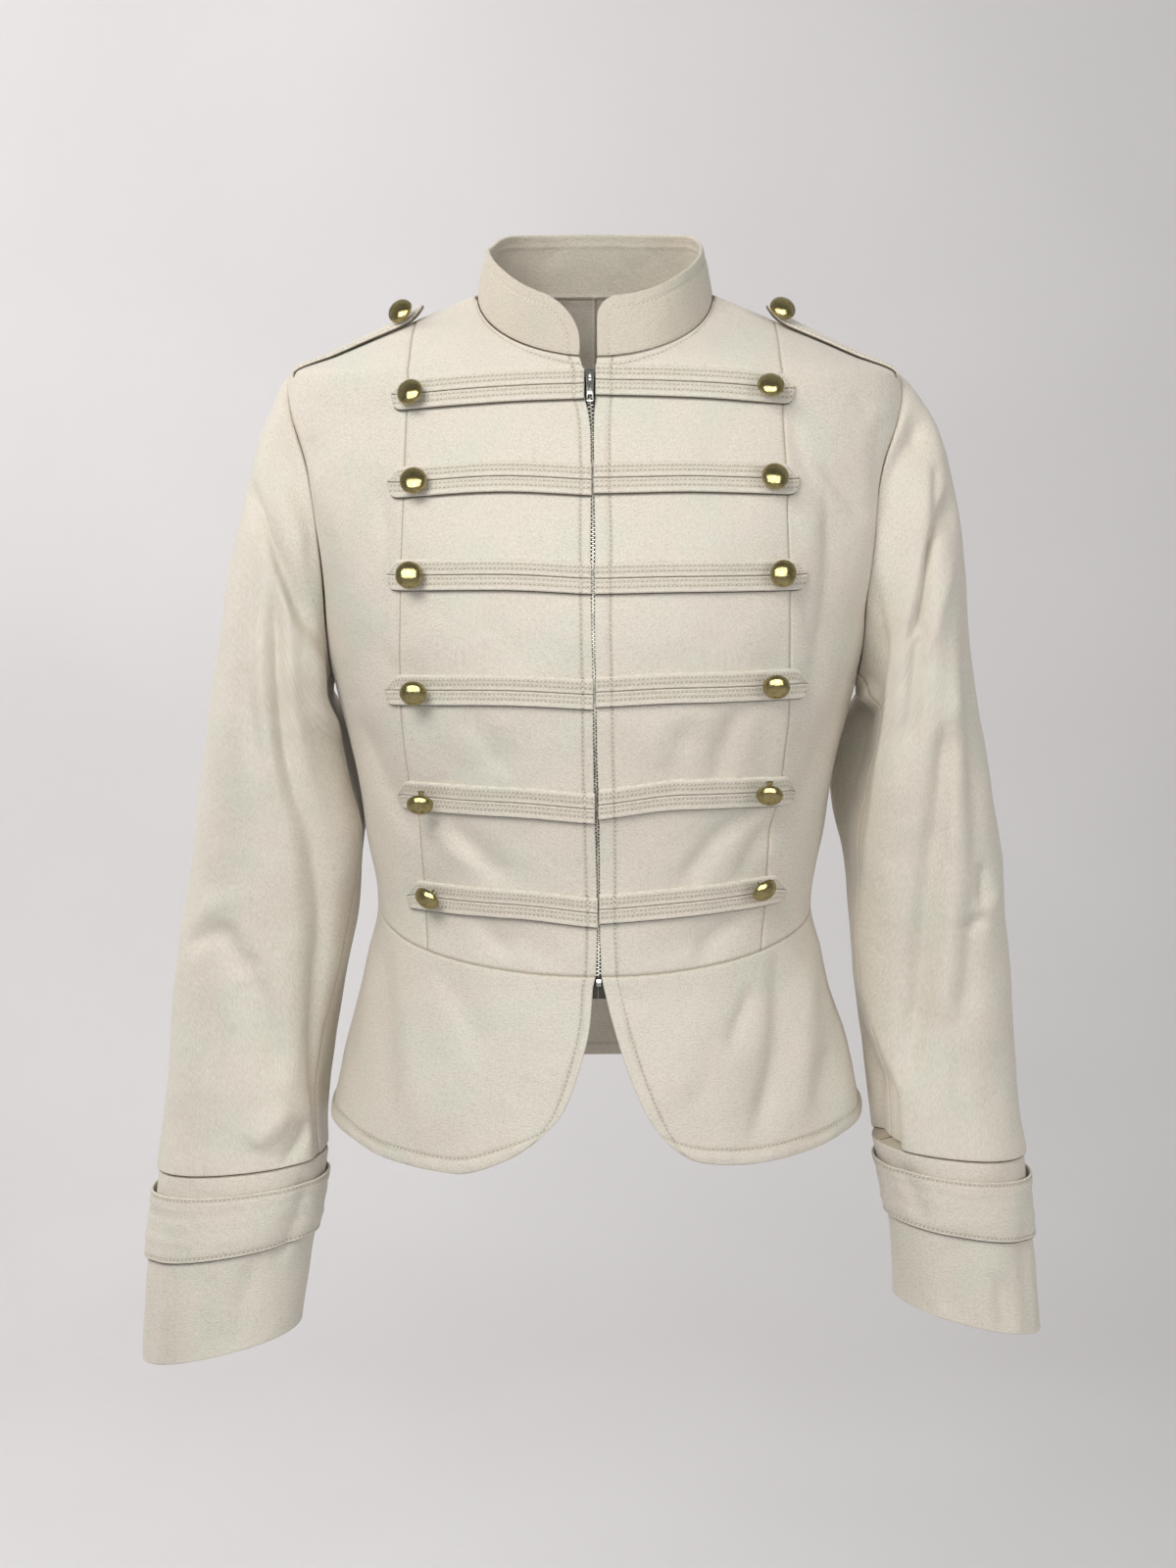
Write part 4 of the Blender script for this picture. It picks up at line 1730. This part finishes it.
def round_off(thing, width):
    finish_by_modifier(thing, "BEVEL", width=width, segments=3, angle_limit=math.radians(35),
                       limit_method="ANGLE")
    pick(thing)
    bpy.ops.object.shade_smooth_by_angle(angle=math.radians(50))


def finished(parts, name, body, node, matrix, finish):
    """Several worked shapes as one named piece in its place."""
    pick(*parts)
    if len(parts) > 1:
        bpy.ops.object.join()
    thing = parts[0]
    thing.name = thing.data.name = name
    thing.data.transform(matrix)
    thing.data.materials.clear()
    thing.data.materials.append(finish)
    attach(thing, body)
    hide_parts(node)


def make_slider(nickel):
    """The slider with its bridge, the tab that hangs from it and the box at the zip's foot."""
    middle = -SLIDER_TOP - SLIDER_LENGTH / 2
    angle = float(angle_at_x(float(zip_line(middle)), middle))
    rise = torso(angle, middle + 5 * MM) - torso(angle, middle - 5 * MM)
    slope = math.atan2(rise[1], rise[2])
    foot = torso(angle, middle, -CLOTH - LIFT + SLIDER_FORWARD)
    place = Matrix.Translation(Vector(foot)) @ Matrix.Rotation(-slope, 4, "X")
    face = -(CLOTH + LIFT + SLIDER_FACE)
    half = SLIDER_LENGTH / 2

    front = block((SLIDER_WIDTH, 1.2 * MM, SLIDER_LENGTH), (0, face + 0.6 * MM, 0))
    squeeze(front, lambda co: co.z < 0, (SLIDER_TAPER, 1.0, 1.0))
    for side in (-1, 1):
        cut_away(front, block((0.5 * MM, 1.2 * MM, 6.4 * MM), (side * 1.25 * MM, face, half - 2.6 * MM)))
    cut_away(front, block((2.0 * MM, 4 * MM, 2.6 * MM), (0, face, half + 0.2 * MM)))
    round_off(front, 0.16 * MM)
    back = block((SLIDER_WIDTH - 0.8 * MM, 0.8 * MM, SLIDER_LENGTH - 0.8 * MM), (0, -0.4 * MM, 0))
    squeeze(back, lambda co: co.z < 0, (SLIDER_TAPER, 1.0, 1.0))
    round_off(back, 0.2 * MM)
    neck = block((1.7 * MM, -face - 1.2 * MM, 3.0 * MM), (0, face / 2, half - 2.6 * MM))
    bridge = block((1.9 * MM, BRIDGE_HEIGHT + 0.3 * MM, BRIDGE_LENGTH + 0.6 * MM),
                   (0, face - BRIDGE_HEIGHT / 2 + 0.15 * MM, BRIDGE_ABOVE))
    squeeze(bridge, lambda co: co.z > BRIDGE_ABOVE, (0.62, 1.0, 1.0))
    squeeze(bridge, lambda co: co.y < face - BRIDGE_HEIGHT / 2, (0.8, 1.0, 0.78))
    cut_away(bridge, block((4 * MM, BRIDGE_HEIGHT - BRIDGE_BAR, BRIDGE_LENGTH - 2 * BRIDGE_BAR),
                           (0, face - (BRIDGE_HEIGHT - BRIDGE_BAR) / 2, BRIDGE_ABOVE)))
    round_off(bridge, 0.22 * MM)
    finished([front, back, neck, bridge], "zip_slider_plated", BODY, "zip_slider", place, nickel)

    hinge = face - (BRIDGE_HEIGHT - BRIDGE_BAR) / 2
    top = BRIDGE_ABOVE + PULL_WALL / 2
    tab = block((PULL_WIDTH, PULL_WALL, PULL_LENGTH), (0, hinge, top - PULL_LENGTH / 2))
    grab(tab, lambda co: True)
    bpy.ops.mesh.select_mode(type="EDGE")
    shape = bmesh.from_edit_mesh(tab.data)
    for edge in shape.edges:
        edge.select_set(abs(edge.verts[0].co.y - edge.verts[1].co.y) > PULL_WALL / 2)
    bmesh.update_edit_mesh(tab.data)
    bpy.ops.mesh.bevel(offset=MM, segments=4, affect="EDGES")
    bpy.ops.object.mode_set(mode="OBJECT")
    for (width, length), middle in ((PULL_SLOT, top - PULL_WALL - PULL_SLOT[1] / 2),
                                    (PULL_WINDOW, top - PULL_LENGTH + 2.6 * MM)):
        cut_away(tab, block((width, 4 * PULL_WALL, length), (0, hinge, middle)))
    round_off(tab, 0.18 * MM)
    finished([tab], "zip_pull_plated", PULL_BODY, "zip_pull", place, nickel)

    x = float(zip_line(BOX_MIDDLE)) + BOX_ASIDE
    centre = torso(angle_at_x(x, BOX_MIDDLE), BOX_MIDDLE, -CLOTH - LIFT + BOX_FORWARD + BOX_SIZE[1] / 2)
    retainer = block(BOX_SIZE)
    round_off(retainer, 0.35 * MM)
    finished([retainer], "zip_box_plated", BODY, "zip_box", Matrix.Translation(Vector(centre)), nickel)


# ---- finishes

DIAGONAL = 2 * math.pi / 10 / math.sqrt(2)      # spacing in metres of a diagonal wave's ribs at scale 1
MULTIPLIED = {"data_type": "RGBA", "blend_type": "MULTIPLY"}


def linear(code):
    """A hex sRGB code as a linear colour."""
    channels = [int(code[start:start + 2], 16) / 255 for start in (1, 3, 5)]
    return [c / 12.92 if c <= 0.04045 else ((c + 0.055) / 1.055) ** 2.4 for c in channels] + [1.0]


def feed(tree, node, inputs):
    """Give a node's inputs their values, or links from other nodes' sockets."""
    for socket, value in inputs.items():
        if isinstance(value, bpy.types.NodeSocket):
            tree.links.new(value, node.inputs[socket])
        else:
            node.inputs[socket].default_value = value


def add(tree, kind, output, inputs=None, stops=(), **settings):
    """One output of a new node with its inputs, its settings and a ramp's stops as places and hex codes."""
    node = tree.nodes.new("ShaderNode" + kind)
    for name, value in settings.items():
        setattr(node, name, value)
    feed(tree, node, inputs or {})
    for number, (place, code) in enumerate(stops):
        stop = node.color_ramp.elements[number] if number < 2 else node.color_ramp.elements.new(place)
        stop.position, stop.color = place, linear(code)
    return node.outputs[output]


def new_finish(name):
    """A material and its tree of nodes."""
    material = bpy.data.materials.new(name)
    material.use_nodes = True
    return material, material.node_tree


def dressed(material, inputs):
    """The material with its shader's values and patterns."""
    feed(material.node_tree, material.node_tree.nodes["Principled BSDF"], inputs)
    return material


def sateen():
    """Off-white cotton sateen: a soft dull glow, a fine slanting twill and short slubs across it.

    The twill and the yarn's grain are drawn coarser than the real ones, so that they show.
    """
    material, tree = new_finish("cream_cotton_sateen")
    spot, laid = add(tree, "TexCoord", "Object"), add(tree, "TexCoord", "UV")
    patches = add(tree, "TexNoise", "Fac", {
        "Vector": spot, "Scale": 1 / (38.5 * MM), "Detail": 3.0, "Roughness": 0.55})
    tone = add(tree, "ValToRGB", "Color", {"Fac": patches},
               [(0.36, "#dfd7cb"), (0.50, "#dfd8cc"), (0.64, "#dbd8cb")])
    yarns = add(tree, "Mapping", "Vector", {
        "Vector": laid, "Scale": (1 / (4.35 * MM), 1 / (0.87 * MM), 1.0)})
    slub = add(tree, "TexNoise", "Fac", {"Vector": yarns, "Scale": 1.0, "Roughness": 0.6})
    fleck = add(tree, "ValToRGB", "Color", {"Fac": slub},
                [(0.30, "#e9e6e2"), (0.52, "#ffffff"), (0.78, "#f3f1ec")])
    grain = add(tree, "TexNoise", "Fac", {"Vector": laid, "Scale": 1 / (1.11 * MM), "Detail": 1.0})
    speck = add(tree, "ValToRGB", "Color", {"Fac": grain}, [(0.30, "#ece9e4"), (0.70, "#ffffff")])
    groove = add(tree, "Attribute", "Fac", attribute_name="groove")
    sunk = add(tree, "ValToRGB", "Color", {"Fac": groove},
                [(0.0, "#ffffff"), (0.5, "#cdc6b9"), (1.0, "#4f483c")])
    for share, over in ((0.75, fleck), (1.0, speck), (1.0, sunk)):
        tone = add(tree, "Mix", 2, {0: share, 6: tone, 7: over}, **MULTIPLIED)
    twill = add(tree, "TexWave", "Fac", {
        "Vector": laid, "Scale": DIAGONAL / (1.3 * MM), "Distortion": 1.2, "Detail": 1.0,
        "Detail Scale": 2.0}, bands_direction="DIAGONAL")
    ripple, pucker = [
        add(tree, "TexNoise", "Fac", {"Vector": spot, "Scale": 1 / size, "Detail": 3.0, "Roughness": 0.6})
        for size in (29.4 * MM, 8.33 * MM)]
    relief = {}
    for height, depth in ((ripple, 1.6 * MM), (pucker, 0.40 * MM), (slub, 0.05 * MM),
                          (grain, 0.05 * MM), (twill, 0.02 * MM)):
        relief["Normal"] = add(tree, "Bump", "Normal", {"Height": height, "Distance": depth, **relief})
    return dressed(material, {
        "Base Color": tone, "Roughness": 0.66, "Specular IOR Level": 0.35, "Sheen Weight": 0.22,
        "Sheen Roughness": 0.45, **relief})


def sewing_thread():
    """Lighter cream sewing thread, twisted, a little brighter than the cloth."""
    material, tree = new_finish("cream_sewing_thread")
    twist = add(tree, "TexWave", "Fac", {
        "Vector": add(tree, "TexCoord", "UV"), "Scale": DIAGONAL / (0.555 * MM)}, bands_direction="DIAGONAL")
    tone = add(tree, "ValToRGB", "Color", {"Fac": twist}, [(0.0, "#d9d2c3"), (1.0, "#f1ebdf")])
    sunk = add(tree, "Attribute", "Fac", attribute_name="groove")
    hole = add(tree, "ValToRGB", "Color", {"Fac": sunk}, [(0.25, "#ffffff"), (0.9, "#6a6255")])
    return dressed(material, {
        "Base Color": add(tree, "Mix", 2, {0: 1.0, 6: tone, 7: hole}, **MULTIPLIED), "Roughness": 0.5,
        "Normal": add(tree, "Bump", "Normal", {"Height": twist, "Distance": 0.05 * MM})})


def aged_brass():
    """Antique gold plate: polished pale gold that mirrors the room, a little browner in places."""
    material, tree = new_finish("antique_gold_plate")
    spot = add(tree, "TexCoord", "Object")
    worn = add(tree, "TexNoise", "Fac", {
        "Vector": spot, "Scale": 1 / (2.38 * MM), "Detail": 4.0, "Roughness": 0.6})
    dents = add(tree, "TexNoise", "Fac", {"Vector": spot, "Scale": 1 / (3.85 * MM)})
    return dressed(material, {
        "Base Color": add(tree, "ValToRGB", "Color", {"Fac": worn},
                          [(0.30, "#86794f"), (0.48, "#9c8f63"), (0.70, "#aa9e74")]),
        "Roughness": add(tree, "MapRange", 0, {0: worn, 1: 0.35, 2: 0.65, 3: 0.21, 4: 0.15}),
        "Normal": add(tree, "Bump", "Normal", {"Height": dents, "Distance": 0.03 * MM}),
        "Metallic": 1.0})


def plate(name, light, dark, roughness, scratch_width):
    """Plated metal, bright with fine scratches or dull cast alloy."""
    material, tree = new_finish(name)
    brushed = add(tree, "Mapping", "Vector", {
        "Vector": add(tree, "TexCoord", "Object"), "Scale": (1.0, 1.0, 0.12)})
    scratch = add(tree, "TexNoise", "Fac", {
        "Vector": brushed, "Scale": 1 / scratch_width, "Detail": 3.0, "Roughness": 0.7})
    return dressed(material, {
        "Base Color": add(tree, "ValToRGB", "Color", {"Fac": scratch}, [(0.35, dark), (0.62, light)]),
        "Normal": add(tree, "Bump", "Normal", {"Height": scratch, "Distance": 0.012 * MM}),
        "Metallic": 1.0, "Roughness": roughness})


def woven_tape():
    """Dark brown woven zip tape with a herringbone of fine ribs."""
    material, tree = new_finish("dark_woven_zip_tape")
    ribs = add(tree, "TexWave", "Fac", {
        "Vector": add(tree, "TexCoord", "UV"), "Scale": DIAGONAL / (0.79 * MM), "Distortion": 0.6},
        bands_direction="DIAGONAL")
    return dressed(material, {
        "Base Color": add(tree, "ValToRGB", "Color", {"Fac": ribs}, [(0.0, "#1d1815"), (1.0, "#352c26")]),
        "Normal": add(tree, "Bump", "Normal", {"Height": ribs, "Distance": 0.10 * MM}),
        "Roughness": 0.85})


def studio_wall():
    """Matt pale grey plaster behind and below."""
    material, tree = new_finish("pale_studio_wall")
    spot = add(tree, "TexCoord", "Object")
    cloudy, rough = [add(tree, "TexNoise", "Fac", {"Vector": spot, "Scale": 1 / size})
                     for size in (833 * MM, 16.7 * MM)]
    return dressed(material, {
        "Base Color": add(tree, "ValToRGB", "Color", {"Fac": cloudy}, [(0.3, "#e3dfdf"), (0.7, "#e9e6e5")]),
        "Normal": add(tree, "Bump", "Normal", {"Height": rough, "Distance": 0.3 * MM}),
        "Roughness": 0.9})


# ---- the studio

FLOOR = -1.75
FLOOR_START = -4.0
WALL_BEHIND = 3.6
WALL_TOP = 3.0
SWEEP = 1.0
STUDIO_WIDTH = 12.0
WALL_LIT = (0.3, 3.4, 0.3)          # where the lights point
JACKET_LIT = (0.0, 0.0, -0.3)
LENS = 57.85                        # millimetres
CAMERA_PLACE = (0.0, -1.53, -0.0414)
CAMERA_TURN = (80.55, 0.0, 0.156)   # degrees


def make_studio():
    """A seamless pale sweep of floor and wall, soft light from the upper left, and the camera."""
    curve = [(FLOOR_START, FLOOR)]
    curve += [(WALL_BEHIND - SWEEP * (1 - math.sin(turn)), FLOOR + SWEEP * (1 - math.cos(turn)))
              for turn in np.linspace(0, QUARTER, 13)]
    curve += [(WALL_BEHIND, WALL_TOP)]
    points = [(side * STUDIO_WIDTH / 2, y, z) for y, z in curve for side in (-1, 1)]
    faces = [(2 * row, 2 * row + 1, 2 * row + 3, 2 * row + 2) for row in range(len(curve) - 1)]
    places = [(x, y) for x, y, z in points]
    mesh_of("studio_sweep", points, faces, places, studio_wall())

    for name, place, size, power, tint in (
        ("key", (-0.75, -1.35, 0.95), (1.0, 0.8), 26.0, (1.0, 0.995, 0.98)),
        ("front", (-0.4, -2.3, 0.2), (2.6, 1.8), 10.0, (0.98, 0.99, 1.0)),
        ("side", (1.9, -1.4, 0.3), (1.2, 1.6), 16.0, (1.0, 1.0, 0.99)),
        ("window", (-0.05, -2.2, 0.15), (3.8, 2.0), 130.0, (0.98, 1.0, 0.97)),
        ("wall", (-1.7, 0.8, 0.8), (1.6, 2.0), 66.0, (1.0, 0.995, 0.995)),
    ):
        light = bpy.data.lights.new(name, "AREA")
        light.shape = "RECTANGLE"
        light.size, light.size_y = size
        light.energy, light.color = power, tint
        lamp = put(name, light)
        lamp.location = place
        aim = Vector(WALL_LIT if name == "wall" else JACKET_LIT) - Vector(place)
        lamp.rotation_euler = aim.to_track_quat("-Z", "Y").to_euler()
        lamp.visible_glossy = name == "window"      # the only one that shines back from metal
        lamp.visible_diffuse = name != "window"

    world = bpy.data.worlds.new("soft_room")
    world.use_nodes = True
    tree = world.node_tree
    way = add(tree, "SeparateXYZ", "Y", {"Vector": add(tree, "TexCoord", "Generated")})
    glow = add(tree, "MapRange", 0, {0: way, 1: -1.0, 2: 1.0, 3: 0.07, 4: 0.74})
    feed(tree, tree.nodes["Background"], {"Color": (0.95, 0.97, 1.0, 1.0), "Strength": glow})
    bpy.context.scene.world = world

    lens = bpy.data.cameras.new("portrait_camera")
    lens.lens = LENS
    camera = put("portrait_camera", lens)
    camera.location = CAMERA_PLACE
    camera.rotation_euler = [math.radians(turn) for turn in CAMERA_TURN]
    bpy.context.scene.camera = camera
    bpy.context.scene.view_settings.view_transform = "Standard"


# ---- the jacket

cotton = sateen()
thread = sewing_thread()
bodice = make_body(cotton)
peplum = make_peplum(cotton)
make_collar(cotton)
sleeves = make_sleeves(cotton)
straps = make_straps(cotton)
epaulettes = make_epaulettes(cotton)
make_stitches(thread, bodice, peplum, sleeves, straps, epaulettes)
make_buttons(aged_brass())
make_zip(woven_tape(), plate("cast_zip_alloy", "#c2bfb6", "#8f8c84", 0.36, 1.43 * MM),
         plate("bright_nickel_plate", "#cfcdc8", "#b4b2ad", 0.18, 2.0 * MM))
make_studio()
